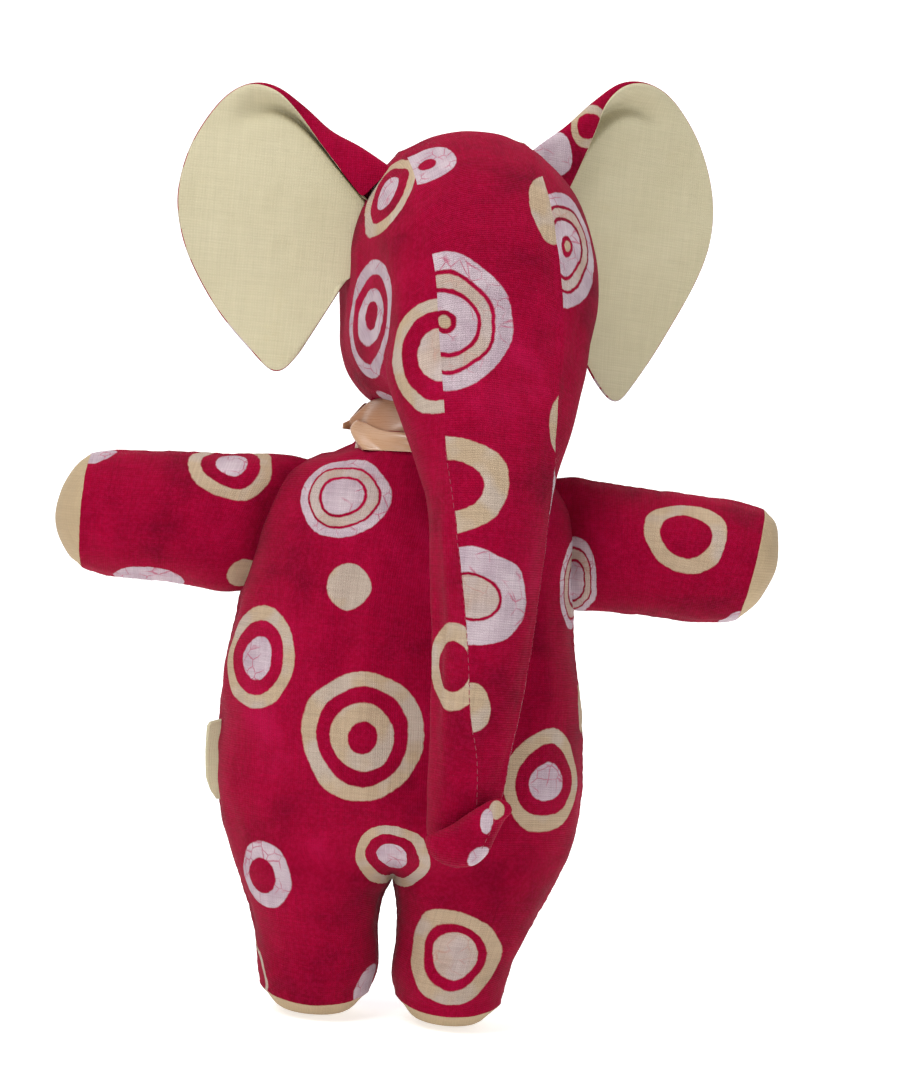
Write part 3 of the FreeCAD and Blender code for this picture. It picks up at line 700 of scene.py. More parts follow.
# Panels with no view in front get rings of the same kinds, spread over them
SPREAD = [EYE, TARGET, MEDAL, HOOP, SPOT, DROP, CREAM_EYE]
SPREAD_SIZES = [14.0, 18.0, 14.0, 12.0, 7.0, 13.0, 15.0]
CLOTH_PITCH = 0.00072  # metres from thread to thread


def linear(r, g, b):
    """A colour given in display values 0-255."""
    out = []
    for c in (r / 255, g / 255, b / 255):
        out.append(c / 12.92 if c <= 0.04045 else ((c + 0.055) / 1.055) ** 2.4)
    return (*out, 1.0)


class Nodes:
    """A material's node tree with short ways to add to it."""

    def __init__(self, name):
        self.material = bpy.data.materials.new(name)
        self.material.use_nodes = True
        self.tree = self.material.node_tree
        self.shader = self.tree.nodes["Principled BSDF"]

    def add(self, kind, inputs=(), **settings):
        node = self.tree.nodes.new(kind)
        for key, value in settings.items():
            setattr(node, key, value)
        for key, value in dict(inputs).items():
            if isinstance(value, bpy.types.NodeSocket):
                self.tree.links.new(value, node.inputs[key])
            else:
                node.inputs[key].default_value = value
        return node

    def math(self, operation, a, b=0.0, clamp=False):
        return self.add("ShaderNodeMath", {0: a, 1: b}, operation=operation, use_clamp=clamp).outputs[0]

    def vector(self, operation, a, b=(0, 0, 0)):
        node = self.add("ShaderNodeVectorMath", {0: a, 1: b}, operation=operation)
        return node.outputs["Value" if operation == "LENGTH" else "Vector"]

    def noise(self, where, scale, detail=2.0, rough=0.5, output="Fac"):
        inputs = {"Vector": where, "Scale": scale, "Detail": detail, "Roughness": rough}
        return self.add("ShaderNodeTexNoise", inputs).outputs[output]

    def wobble(self, where, scale, detail, size):
        """Moves either way, up to about half this size."""
        apart = self.vector("SUBTRACT", self.noise(where, scale, detail, output="Color"), (0.5, 0.5, 0.5))
        return self.vector("MULTIPLY", apart, (size, size, size))

    def at_rest(self):
        """Where each point of the cloth lies at rest."""
        return self.add("ShaderNodeAttribute", attribute_name="print_at").outputs["Vector"]

    def mix(self, share, a, b, **settings):
        node = self.add("ShaderNodeMix", {0: share, 6: a, 7: b}, data_type="RGBA", **settings)
        return node.outputs[2]

    def ramp(self, value, stops):
        node = self.add("ShaderNodeValToRGB", {"Fac": value})
        elements = node.color_ramp.elements
        while len(elements) < len(stops):
            elements.new(0.5)
        for element, (at, colour) in zip(elements, stops):
            element.position = at
            element.color = colour
        return node

    def spread(self, value, low, high, to_low=0.0, to_high=1.0):
        inputs = {"Value": value, "From Min": low, "From Max": high, "To Min": to_low, "To Max": to_high}
        return self.add("ShaderNodeMapRange", inputs).outputs[0]

    def set(self, **sockets):
        for key, value in sockets.items():
            self.shader.inputs[key.replace("_", " ")].default_value = value

    def join(self, value, socket):
        self.tree.links.new(value, self.shader.inputs[socket])


def weave(nodes, pitch, rib=1.0):
    """Height of a plain weave from the cloth's own map; rib is how much stronger the cross threads are."""
    uv = nodes.add("ShaderNodeUVMap", uv_map="cloth").outputs[0]
    wander = nodes.wobble(uv, 90.0, 1.0, pitch * 1.6)
    apart = nodes.add("ShaderNodeSeparateXYZ", {0: nodes.vector("ADD", uv, wander)})
    turns = 2 * math.pi / pitch
    across = nodes.math("SINE", nodes.math("MULTIPLY", apart.outputs[0], turns))
    along = nodes.math("SINE", nodes.math("MULTIPLY", apart.outputs[1], turns))
    threads = nodes.math("ADD", across, nodes.math("MULTIPLY", along, rib))
    checks = nodes.math("MULTIPLY", nodes.math("MULTIPLY", across, along), 0.6)
    return nodes.math("ADD", threads, checks), uv


def slubs(nodes, uv):
    """Uneven threads: noise drawn out along the cloth both ways, from 0 to 1."""
    thick = 0.0
    for squeeze in ((60.0, 1300.0, 1.0), (1300.0, 60.0, 1.0)):
        place = nodes.vector("MULTIPLY", uv, squeeze)
        value = nodes.noise(place, 1.0, 1.0)
        thick = nodes.math("ADD", value, thick)
    return nodes.math("MULTIPLY", thick, 0.5)


def bump(nodes, height, strength, distance):
    inputs = {"Height": height, "Strength": strength, "Distance": distance}
    return nodes.add("ShaderNodeBump", inputs)


def cotton(n, where, pitch, rib, colour, thread_shade, slub_shade, roughness, relief, crumple):
    """Gives the shader the cloth's colour, shaded by its threads, and the threads' relief over fine crumples.
    The relief is strength and depth; the crumples are scale, strength and depth."""
    threads, uv = weave(n, pitch, rib)
    uneven = slubs(n, uv)
    slub_tone = n.spread(uneven, 0.3, 0.7, *slub_shade)
    shade = n.math("ADD", n.math("MULTIPLY", threads, thread_shade), slub_tone)
    n.join(n.mix(1.0, colour, shade, blend_type="MULTIPLY"), "Base Color")
    n.join(n.spread(uneven, 0.3, 0.7, *roughness), "Roughness")
    fine = bump(n, threads, *relief)
    rough = bump(n, n.noise(where, crumple[0], 3.0), *crumple[1:])
    n.tree.links.new(fine.outputs[0], rough.inputs["Normal"])
    n.join(rough.outputs[0], "Normal")


RAMP_REACH = 1.25  # how far a motif's colour ramp runs, as a share of the motif's radius
BAND_EDGE = 0.2  # half the width over which one band turns into the next, in millimetres


def wax_bands(nodes, where, motifs):
    """Which wax covers each place: red channel cream, green channel pale pink, none where the dye took."""
    mask = nodes.add("ShaderNodeRGB").outputs[0]
    mask.default_value = (0, 0, 0, 1)
    for centre, radii, bands in motifs:
        place = nodes.vector("SUBTRACT", where, centre)
        place = nodes.vector("DIVIDE", place, radii)
        reach = nodes.vector("LENGTH", place)
        edge = BAND_EDGE / (1000 * max(radii))
        stops = []
        low = 0.0
        for colour, high in bands:
            for at in (low + edge, high - edge):
                stops.append((at / RAMP_REACH, (*WAX[colour], 1.0)))
            low = high
        stops.append(((1.0 + edge) / RAMP_REACH, (*WAX[colour], 0.0)))
        stops[0] = (0.0, stops[0][1])
        ramp = nodes.ramp(nodes.math("DIVIDE", reach, RAMP_REACH), stops)
        mask = nodes.mix(ramp.outputs[1], mask, ramp.outputs[0])
    return mask


def print_material(name, motifs, rib=1.0):
    """Crimson batik cotton with ring motifs in cream and in pale pink wax."""
    n = Nodes(name)
    where = n.at_rest()
    waver = n.wobble(where, 55.0, 1.0, 0.0052)
    nibble = n.wobble(where, 520.0, 2.0, 0.0007)
    drawn = n.vector("ADD", n.vector("ADD", where, waver), nibble)
    mask = n.add("ShaderNodeSeparateColor", {0: wax_bands(n, drawn, motifs)})
    cream_wax, pale_wax = mask.outputs[0], mask.outputs[1]
    # dyed ground: cloudy crimson with darker and paler patches
    cloud = n.noise(where, 34.0, 3.0, 0.6)
    dyes = [(0.28, (96, 0, 25)), (0.46, (127, 0, 35)), (0.6, (137, 1, 40)), (0.78, (156, 9, 57))]
    ground = n.ramp(cloud, [(at, linear(*dye)) for at, dye in dyes]).outputs[0]
    fleck = n.spread(n.noise(where, 900.0, 2.0), 0.42, 0.62)
    ground = n.mix(n.math("MULTIPLY", fleck, 0.12), ground, linear(180, 22, 80))
    # waxed places: cream, and pale pink with a crackle where dye ran into the wax
    tone = n.noise(where, 120.0, 2.0)
    cream_dye = n.mix(tone, linear(157, 135, 110), linear(172, 152, 128))
    mottle = n.spread(n.noise(where, 70.0, 2.0), 0.48, 0.6, 0.0, 0.75)
    cream_dye = n.mix(mottle, cream_dye, linear(166, 152, 142))
    shattered = n.add("ShaderNodeTexVoronoi", {"Vector": drawn, "Scale": 210.0}, feature="DISTANCE_TO_EDGE")
    crack = n.spread(shattered.outputs["Distance"], 0.0, 0.055, 1.0, 0.0)
    patchy = n.spread(n.noise(where, 130.0, 1.0), 0.46, 0.6)
    crack = n.math("MULTIPLY", crack, patchy)
    pale_dye = n.mix(n.spread(tone, 0.35, 0.7), linear(161, 142, 151), linear(180, 164, 170))
    pale_dye = n.mix(n.math("MULTIPLY", crack, 0.75), pale_dye, linear(156, 40, 80))
    colour = n.mix(cream_wax, ground, cream_dye)
    colour = n.mix(pale_wax, colour, pale_dye)
    cotton(
        n, where, CLOTH_PITCH, rib, colour, thread_shade=0.03, slub_shade=(0.86, 1.1), roughness=(0.78, 0.92),
        relief=(0.35, 0.00012), crumple=(260.0, 0.25, 0.0006),
    )
    n.set(Sheen_Weight=0.03, Sheen_Roughness=0.5, Specular_IOR_Level=0.03)
    return n.material


def lining_material(name, dark, lit):
    """Unbleached cotton with a visible weave and faint stains."""
    n = Nodes(name)
    where = n.at_rest()
    colour = n.mix(n.noise(where, 40.0, 3.0, 0.6), dark, lit)
    spot = n.spread(n.noise(where, 70.0, 4.0, 0.7), 0.62, 0.78)
    colour = n.mix(n.math("MULTIPLY", spot, 0.2), colour, linear(176, 158, 108))
    cotton(
        n, where, CLOTH_PITCH * 1.15, 1.0, colour, thread_shade=0.02, slub_shade=(0.93, 1.04),
        roughness=(0.8, 0.95), relief=(0.3, 0.0001), crumple=(150.0, 0.3, 0.001),
    )
    n.set(Sheen_Weight=0.04, Specular_IOR_Level=0.1)
    return n.material


def satin_material(name, dark, lit):
    """Peach satin ribbon: fine threads along its length, and a soft gloss."""
    n = Nodes(name)
    uv = n.add("ShaderNodeUVMap", uv_map="cloth").outputs[0]
    where = n.at_rest()
    lines = n.noise(n.vector("MULTIPLY", uv, (4000.0, 90.0, 1.0)), 1.0, 2.0)
    tone = n.noise(where, 80.0, 2.0)
    colour = n.mix(tone, dark, lit)
    colour = n.mix(n.math("MULTIPLY", lines, 0.25), colour, linear(140, 92, 60))
    n.join(colour, "Base Color")
    n.join(n.spread(lines, 0.3, 0.7, 0.24, 0.36), "Roughness")
    n.join(bump(n, lines, 0.25, 0.0002).outputs[0], "Normal")
    n.set(Anisotropic=0.6, Specular_IOR_Level=0.9, Sheen_Weight=0.1)
    return n.material


def thread_material(name, colour):
    n = Nodes(name)
    where = n.at_rest()
    twist = n.noise(where, 2500.0, 1.0)
    n.join(n.mix(twist, colour, tuple(min(1.0, c * 1.5) for c in colour)), "Base Color")
    n.join(bump(n, twist, 0.4, 0.0002).outputs[0], "Normal")
    n.set(Roughness=0.6, Sheen_Weight=0.2)
    return n.material


def place_motifs(tree, motifs):
    """Looks up where each motif's middle lies on the cloth, along the camera's line of sight."""
    eye = Vector(to_row(CAMERA_AT))
    placed = []
    for x, z, across, up, bands, *depth in motifs:
        seen_at = Vector(to_row([x, 0, z]))
        spot = tree.ray_cast(eye, (seen_at - eye).normalized())[0]
        if spot is None:
            spot = tree.find_nearest(seen_at)[0]
        radii = (across / 1000, (depth[0] if depth else max(across, up)) / 1000, up / 1000)
        placed.append((tuple(spot), radii, bands))
    return placed


def spread_motifs(mesh, seed, apart, keep=None, taken=()):
    """Rings scattered over a panel at least so far apart, in millimetres, always the same for one seed."""
    chance = np.random.default_rng(seed)
    points = coordinates(mesh)
    if keep is not None:
        points = points[keep(in_toy(points))]
    centres = [np.array(c) for c, _, _ in taken]
    placed = []
    for k in chance.permutation(len(points)):
        if all(np.linalg.norm(points[k] - c) * 1000 > apart for c in centres):
            kind = len(centres) % len(SPREAD)
            size = SPREAD_SIZES[kind] / 1000
            placed.append((tuple(points[k]), (size, size, size * 1.05), SPREAD[kind]))
            centres.append(points[k])
    return placed


# ---------------------------------------------------------------- working the cloth


def edge_distance(mesh, tree_points):
    """Distance in millimetres from each point of a mesh to the nearest of some seam points."""
    tree = KDTree(len(tree_points))
    for k, point in enumerate(tree_points):
        tree.insert(Vector(point), k)
    tree.balance()
    return np.array([tree.find(v.co)[2] for v in mesh.vertices]) * 1000


def seam_points(mesh):
    """Points spread closely along the seams, where two pieces of cloth meet."""
    panel = values_of(mesh.attributes["cut"].data, "value", 1, np.int32)
    sides = {}
    for face in mesh.polygons:
        for key in face.edge_keys:
            sides.setdefault(key, set()).add(panel[face.index])
    co = coordinates(mesh)
    seams = [key for key, found in sides.items() if len(found) > 1]
    points = []
    for a, b in seams:
        for share in (0.0, 0.33, 0.67):
            points.append(co[a] * (1 - share) + co[b] * share)
    return points


def wave(points, size, seed):
    """Smooth uneven values between about -1 and 1, with features of a given size in millimetres."""
    chance = np.random.default_rng(seed)
    total = np.zeros(len(points))
    for _ in range(9):
        aim = unit(chance.normal(size=3))
        turns = 2 * np.pi / (size * chance.uniform(0.7, 1.5))
        total += np.sin(points @ aim * turns + chance.uniform(0, 6.28))
    return total / 3.2


def work_cloth(piece, seed, seam_depth=0.7, pucker=0.2, lumps=0.5, free=None):
    """Sinks the seams, puckers the cloth next to them and adds the soft unevenness of a hand-stuffed toy."""
    mesh = piece.data
    near = edge_distance(mesh, seam_points(mesh))
    co = coordinates(mesh)
    toy = in_toy(co)
    normals = normals_of(mesh)
    groove = -seam_depth * np.exp(-((near / 1.3) ** 2))
    ripples = pucker * wave(toy, 7.0, seed) * np.exp(-(((near - 2.5) / 3.5) ** 2))
    soft = lumps * wave(toy, 30.0, seed + 1) + 0.22 * lumps * wave(toy, 11.0, seed + 2)
    move = groove + ripples + soft * np.clip(near / 6, 0, 1)
    if free is not None:
        move = move * free(toy)
    set_coordinates(mesh, co + normals * (move / 1000)[:, None])


PUFF_CAP = 0.0022  # metres a point may move while the cloth settles over its stuffing
SETTLING_FRAMES = 20


def relax(piece, share, rounds=14):
    """Evens out the cloth as far as share says at each point."""
    mesh = piece.data
    co = coordinates(mesh)
    ends = values_of(mesh.edges, "vertices", 2, np.int32)
    a, b = ends.T
    count = np.bincount(ends.ravel(), minlength=len(co))[:, None]
    weight = share(in_toy(co))[:, None]
    for _ in range(rounds):
        total = np.zeros_like(co)
        np.add.at(total, a, co[b])
        np.add.at(total, b, co[a])
        co += (total / count - co) * weight * 0.5
    set_coordinates(mesh, co)


def puff(piece, pinned):
    """Lets the welded cloth fill out under the stuffing's pressure, held at its seams and its pinned points.
    The free points' median move outwards is taken off every point again, and what is left is capped."""
    mesh = piece.data
    before = coordinates(mesh)
    near = edge_distance(mesh, seam_points(mesh))
    hold = np.clip(1.0 - near / 5.0, 0, 1) * 0.75
    hold = np.maximum(hold, pinned(in_toy(before)))
    group = piece.vertex_groups.new(name="held")
    for k, weight in enumerate(hold):
        if weight > 0.001:
            group.add([k], float(weight), "REPLACE")
    modifier = piece.modifiers.new("cloth", "CLOTH")
    settings = modifier.settings
    settings.quality = 4
    settings.mass = 0.2
    settings.tension_stiffness = settings.compression_stiffness = 12
    settings.shear_stiffness = 5
    settings.bending_stiffness = 0.3
    settings.use_pressure = True
    settings.uniform_pressure_force = 4.0
    settings.effector_weights.gravity = 0
    settings.vertex_group_mass = "held"
    settings.pin_stiffness = 1.0
    modifier.collision_settings.use_collision = False
    scene = bpy.context.scene
    for frame_number in range(1, SETTLING_FRAMES + 1):
        scene.frame_set(frame_number)
    graph = bpy.context.evaluated_depsgraph_get()
    settled = bpy.data.meshes.new_from_object(piece.evaluated_get(graph), depsgraph=graph)
    after = coordinates(settled)
    bpy.data.meshes.remove(settled)
    piece.modifiers.clear()
    piece.vertex_groups.clear()
    scene.frame_set(1)
    normals = normals_of(mesh)
    moved = after - before
    outward = (moved * normals).sum(axis=1)
    free = hold < 0.2
    moved -= normals * np.median(outward[free])
    size = np.linalg.norm(moved, axis=1, keepdims=True)
    moved *= np.minimum(1.0, PUFF_CAP / np.maximum(size, 1e-9))
    set_coordinates(mesh, before + moved * (1 - hold)[:, None])


# ---------------------------------------------------------------- small parts


def dashes(name, tree, seams, pitch, length, radius, lift=0.1):
    """Short stitches along lines of toy points, laid on the cloth found by the tree."""
    vertices, faces = [], []
    sides = 6
    shares = np.array([-0.5, -0.25, 0, 0.25, 0.5])
    for line in seams:
        run = lengths(line)
        for k in range(int(run[-1] / pitch)):
            ends = along_line(line, (shares * length + (k + 0.5) * pitch) / run[-1])
            normal = np.array(tree.find_nearest(Vector(to_row(ends[2])))[1])
            sideways = unit(np.cross(unit(ends[-1] - ends[0]), normal))
            base = len(vertices)
            for j, (at, size) in enumerate(zip(ends, (0.25, 0.9, 1.0, 0.9, 0.25))):
                spot = np.array(tree.find_nearest(Vector(to_row(at)))[0])
                spot = spot + normal * (lift * (1.0 if 0 < j < 4 else -1.5)) / 1000
                for m in range(sides):
                    turn = 2 * math.pi * m / sides
                    ring = sideways * math.cos(turn) + normal * math.sin(turn)
                    vertices.append(tuple(spot + ring * radius * size / 1000))
            for j in range(4):
                for m in range(sides):
                    a, b = base + j * sides + m, base + j * sides + (m + 1) % sides
                    faces.append((a, b, b + sides, a + sides))
            faces.append(tuple(base + m for m in reversed(range(sides))))
            faces.append(tuple(base + 4 * sides + m for m in range(sides)))
    return new_object(name, smooth_mesh(name, vertices, faces))


def tree_of(*pieces):
    """One search tree over several pieces of cloth."""
    points, faces = [], []
    for piece in pieces:
        base = len(points)
        points += [v.co.copy() for v in piece.data.vertices]
        faces += [[base + k for k in p.vertices] for p in piece.data.polygons]
    return BVHTree.FromPolygons(points, faces)


# The trunk's end, folded up in front of itself: outline as seen from in front
TIP_OUTLINE = [
    (10.0, 58.0), (10.6, 54.0), (14.0, 50.6), (20.0, 49.0), (26.0, 50.0), (30.0, 54.2), (32.4, 60.0),
    (34.4, 65.0), (36.8, 68.6), (34.5, 71.4), (30.3, 71.2), (25.0, 67.8), (18.5, 62.6), (13.0, 59.2),
]
TIP_MIDDLE = (22.5, 59.5)
TIP_SEAM = [(32.2, 66.6), (31.2, 61.0), (28.6, 55.0)]  # the trunk's seam goes on along the folded end
TIP_DEPTH = (-56.0, -67.4)  # back and front of the folded end
TIP_NEARER = 1 + TIP_DEPTH[1] / CAMERA_DISTANCE  # the camera sees it larger than the parts further back


def tip_cloth():
    loop = np.array(TIP_OUTLINE + TIP_OUTLINE[:1], float)
    keys = np.column_stack([np.arange(len(loop)), loop])
    edge = along_line(smooth(keys, np.linspace(0, len(loop) - 1, 300)), np.linspace(0, 1, 73))
    edge[-1] = edge[0]
    cloth = Cloth("trunk_tip_cloth")
    middle = np.array(TIP_MIDDLE)
    centre = CAMERA_AT[[0, 2]]
    edge = centre + (edge - centre) * TIP_NEARER
    middle = centre + (middle - centre) * TIP_NEARER
    half = (TIP_DEPTH[1] - TIP_DEPTH[0]) / 2
    centre_y = (TIP_DEPTH[1] + TIP_DEPTH[0]) / 2
    for front in (True, False):
        rows = []
        for share in np.cos(np.radians(np.linspace(0, 90, 14))):
            flat = middle + (edge - middle) * share
            swell = math.sqrt(max(0.0, 1 - share**2.6))
            up_fold = 1.0 - 0.25 * np.clip((flat[:, 1] - 69) / 9, 0, 1)
            depth = centre_y + (half if front else -half) * swell * up_fold
            rows.append(np.column_stack([flat[:, 0], depth, flat[:, 1]]))
        rows = np.array(rows)
        cloth.add("front" if front else "back", rows, rows[:, :, [0, 2]].copy(), -1 if front else 1)
    return cloth


def grid_of(point, along, across):
    """A grid of toy points, with one row for each value along."""
    return np.array([[point(a, b) for b in across] for a in along])


def round_neck(angle, half_width, half_depth, level):
    """A point on an oval round the neck's axis."""
    x, y = NECK_IN_TOY
    return [x + half_width * math.cos(angle), y + half_depth * math.sin(angle), level]


def neck_point(level, turn):
    """The gathered cloth of the neck, inside the ribbon and up into the head."""
    a = math.radians(turn)
    out = 0.35 * math.sin(17 * a + 0.2 * level) + 0.2 * math.sin(7 * a)
    return round_neck(a, 22.3 + out, 17.8 + out, level)


# Ribbon: a flat band that goes round the neck, pinched at the toy's right, with a fold of the glossy satin in
# front of it, its colour painted lighter as painted light and highlight on the fold
PINCH = 189.0  # degrees round the neck, from +X
BAND_FRONT = 235.0  # where the band leans out furthest, in the same degrees
FOLD_START, FOLD_TURN = PINCH + 8, 84


def near_turn(turn, middle, width):
    """1 at an angle round the neck, fading to 0 on both sides of it."""
    return math.exp(-((((turn - middle + 180) % 360 - 180) / width) ** 2))


def band_point(turn, s):
    a = math.radians(turn)
    pinch, front = near_turn(turn, PINCH, 8.0), near_turn(turn, BAND_FRONT, 32.0)
    under_fold = step((turn % 360 - 176) / 12) * (1 - step((turn % 360 - 285) / 20))
    out = 1.3 * (1 - s * s) + 3.2 * pinch + front * (1.6 * (1 - s) - 0.4)
    out += 0.3 * math.sin(4 * a + 2 * s) + 0.2 * math.sin(9 * a - 3 * s)
    half = 7.3 * (1 - 0.72 * pinch) + 0.8 * front
    half *= 1 - 0.35 * under_fold * (s < 0)
    return round_neck(a, 23.9 + out, 19.4 + out, 187.8 + 0.3 * pinch + 0.9 * front + s * half)


def fold_point(share, s):
    """From the pinch the fold opens out downwards and runs under the trunk, with a ridge slanting down."""
    a = math.radians(FOLD_START + share * FOLD_TURN)
    opening = step((share + 0.03) / 0.12)
    ridge_at = 1.0 - 2.4 * share / 0.4
    out = 1.8 + 2.0 * opening + 1.2 * step(share / 0.5) - 1.4 * opening * max(0.0, s) ** 2
    out += 2.4 * opening * math.exp(-((s - ridge_at) ** 2) / 0.3) * (1 - step((share - 0.35) / 0.3))
    out += 0.2 * math.sin(7 * a + 3 * s)
    top = 188.9 - 3.2 * step(share / 0.5)
    bottom = 186.5 - 7.4 * opening + 1.2 * share
    return round_neck(a, 23.9 + out, 20.0 + out, (top + bottom) / 2 + s * (top - bottom) / 2)


def ribbon_end_point(share, s):
    """The little end that stands out at the pinch."""
    level = 188.6 - 1.7 * share + s * (2.4 - 1.5 * share)
    return [-22.8 - 5.0 * share, 0.5 - 3.0 * share + 1.2 * (1 - share) * s * s, level]


def tag_point(share, s):
    """The side tag: a folded strip of the plain cotton, caught in the side seam."""
    reach = float(np.interp(share, [0, 0.1, 0.24, 0.6, 0.93, 1], [0.6, 2.6, 4.0, 4.7, 5.2, 4.6]))
    inner = -55.5 - 0.6 * math.sin(math.pi * share)
    bend = 0.8 * math.sin(3.0 * share + 1.5 * s) * s
    level = 65.0 + 26.5 * share - 2.2 * s * step((share - 0.8) / 0.2)
    return [inner - (reach + 1.6) * s, -1.0 + bend - 1.5 * s, level]


def both_sides(name, grid, thickness):
    """A thin closed strip of cloth: two layers joined at their edges."""
    normal = grid_normals(grid)
    top, under = grid + normal * thickness / 2, grid - normal * thickness / 2
    uv = flat_uv(grid)
    cloth = Cloth(name)
    cloth.add("sheet", top, uv, 1)
    cloth.add("sheet", under, uv, -1)
    for start, end, row_uv in (
        (top[0], under[0], uv[0]), (under[-1], top[-1], uv[-1]),
        (under[:, 0], top[:, 0], uv[:, 0]), (top[:, -1], under[:, -1], uv[:, -1]),
    ):
        cloth.add("sheet", np.stack([start, end]), np.stack([row_uv, row_uv]), -1)
    return cloth.build()


# ---------------------------------------------------------------- the toy

cream = lining_material("cream_cotton", linear(178, 169, 138), linear(192, 184, 156))
pad_cloth = lining_material("beige_cotton", linear(156, 135, 106), linear(174, 154, 124))
satin = satin_material("peach_satin", linear(148, 104, 72), linear(170, 124, 90))
# the fold's satin: the ribbon's satin painted lighter, as painted light and highlight where the fold catches
# the lamps
satin_painted_lit = satin_material("satin_painted_lit", linear(170, 130, 96), linear(194, 156, 122))
thread = thread_material("crimson_thread", linear(116, 6, 40))
pale_thread = thread_material("cream_thread", linear(220, 205, 170))


def printed(pieces, panel, motifs, rib=1.0):
    """Gives every one of these pieces the same printed cloth."""
    material = print_material(f"print_{panel}", motifs, rib)
    for piece in pieces:
        finish_piece(piece, material)


# Torso and legs
HIP = np.array([0, 0, 46.0])
HIP_AIM = np.array([16.2, 0, -31.5])  # from the crotch down each leg, mirrored for the leg at -X


def on_leg(sign):
    """A test for the faces from one hip down."""
    def test(centres):
        along = (centres - HIP) @ (HIP_AIM * [sign, 1, 1])
        return (along > -50) & (centres[:, 0] * sign >= 0)
    return test


def on_torso(centres):
    return ~(on_leg(-1)(centres) | on_leg(1)(centres))


def beside_hips(toy):
    """Where the outlines of body and legs meet, to be evened out."""
    return np.exp(-(((toy[:, 2] - CROTCH) / 6) ** 2)) * np.clip((np.abs(toy[:, 0]) - 8) / 8, 0, 1)


cloth = body_cloth()
body = cloth.build()
relax(body, beside_hips)
puff(body, lambda toy: np.clip((toy[:, 2] - 172) / 6, 0, 1) + np.clip((9 - toy[:, 2]) / 4, 0, 1))
subdivide(body)
work_cloth(body, 11, free=lambda toy: np.clip(toy[:, 2] / 6, 0, 1))
front_motifs = place_motifs(tree_of(body), PRINT["front"])
cuts = {"torso_front": (["torso_front", "right_leg_front", "left_leg_front"], on_torso)}
for side, sign in (("right", -1), ("left", 1)):
    cuts[f"torso_back_{side}"] = ([f"torso_back_{side}", f"{side}_leg_back"], on_torso)
    cuts[f"{side}_leg_front"] = (["torso_front", f"{side}_leg_front"], on_leg(sign))
    cuts[f"{side}_leg_back"] = ([f"torso_back_{side}", f"{side}_leg_back"], on_leg(sign))
    cuts[f"{side}_sole"] = ([f"{side}_sole"], None)
parts = split(body, cloth.panels, cuts)
body_tree = tree_of(*parts.values())
printed([parts["torso_front"], parts["right_leg_front"], parts["left_leg_front"]], "front", front_motifs)
for side, seed in (("right", 5), ("left", 8)):
    back, leg_back = parts[f"torso_back_{side}"], parts[f"{side}_leg_back"]
    rings = spread_motifs(back.data, seed, 40.0, None, front_motifs)
    rings += spread_motifs(leg_back.data, seed, 34.0, lambda toy: toy[:, 2] < 50, front_motifs + rings)
    printed([back, leg_back], f"back_{side}", rings)

torso_nodes = {
    "torso_front": ["torso_front_panel", "torso_filling"], "torso_back_right": ["torso_back_right"],
    "torso_back_left": ["torso_back_left"],
}
for name, nodes in torso_nodes.items():
    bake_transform(parts[name])
    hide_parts(*nodes)
for side, sign in (("right", -1), ("left", 1)):
    for face in ("front", "back"):
        piece = parts[f"{side}_leg_{face}"]
        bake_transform(piece)
        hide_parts(f"{side}_leg_{face}", *([f"{side}_leg_filling"] if face == "front" else []))
for side in ("right", "left"):
    piece = finish_piece(parts[f"{side}_sole"], pad_cloth)
    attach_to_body(piece, f"{side}_leg")
    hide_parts(f"{side}_sole_pad")

# Arms
for side, keys, sign in (("right", RIGHT_ARM, -1), ("left", LEFT_ARM, 1)):
    cloth = arm_cloth(side, keys)
    whole = cloth.build()
    root = keys[3][0]
    puff(whole, lambda toy: np.clip(1 - (np.abs(toy[:, 0]) - abs(root)) / 10, 0, 1))
    subdivide(whole)
    work_cloth(whole, 23 + sign)
    panel_cuts = {f"{side}_{name}": ([name], None) for name in ("arm_front", "arm_back")}
    panel_cuts[f"{side}_paw_pad"] = (["paw"], None)
    parts = split(whole, cloth.panels, panel_cuts)
    arm_front, arm_back = parts[f"{side}_arm_front"], parts[f"{side}_arm_back"]
    seen = place_motifs(tree_of(arm_front), PRINT[f"{side}_arm_front"])
    printed([arm_front], f"{side}_arm_front", seen)
    behind = spread_motifs(arm_back.data, 31 + sign, 34.0, lambda toy: np.abs(toy[:, 0]) > 50, seen)
    printed([arm_back], f"{side}_arm_back", behind)
    for name, piece in parts.items():
        if name.endswith("pad"):
            finish_piece(piece, pad_cloth)
            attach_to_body(piece, f"{side}_arm")
        else:
            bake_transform(piece)
        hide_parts(name, *([f"{side}_arm_filling"] if name.endswith("front") else []))

# Head and trunk
cloth, trunk_seams = head_cloth()
whole = cloth.build()
puff(whole, lambda toy: np.clip((196 - toy[:, 2]) / 3, 0, 1) * (toy[:, 1] > -22))
subdivide(whole)
work_cloth(whole, 41, seam_depth=0.55, lumps=0.4)
parts = split(whole, cloth.panels, {f"head_{name}": ([name], None) for name in cloth.panels})
head_tree = tree_of(*parts.values())
for name, piece in parts.items():
    panel = name.replace("head_", "")
    seen = place_motifs(head_tree, PRINT[panel])
    behind = spread_motifs(piece.data, len(name), 36.0, lambda toy: (toy[:, 1] > 6) & (toy[:, 2] > 200), seen)
    printed([piece], panel, seen + behind, 2.4 if panel == "gusset" else 1.0)
    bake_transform(piece)
    extra = ["head_filling", "trunk_filling"] if panel == "gusset" else []
    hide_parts(name, name.replace("head", "trunk"), *extra)

for side, line in trunk_seams.items():
    line = line[(line[:, 2] < 184) & (line[:, 2] > 66) & (line[:, 1] < -40)]
    row = dashes(f"trunk_stitches_{side}", head_tree, [line], pitch=2.4, length=1.6, radius=0.2)
    finish_piece(row, thread)
    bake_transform(row)

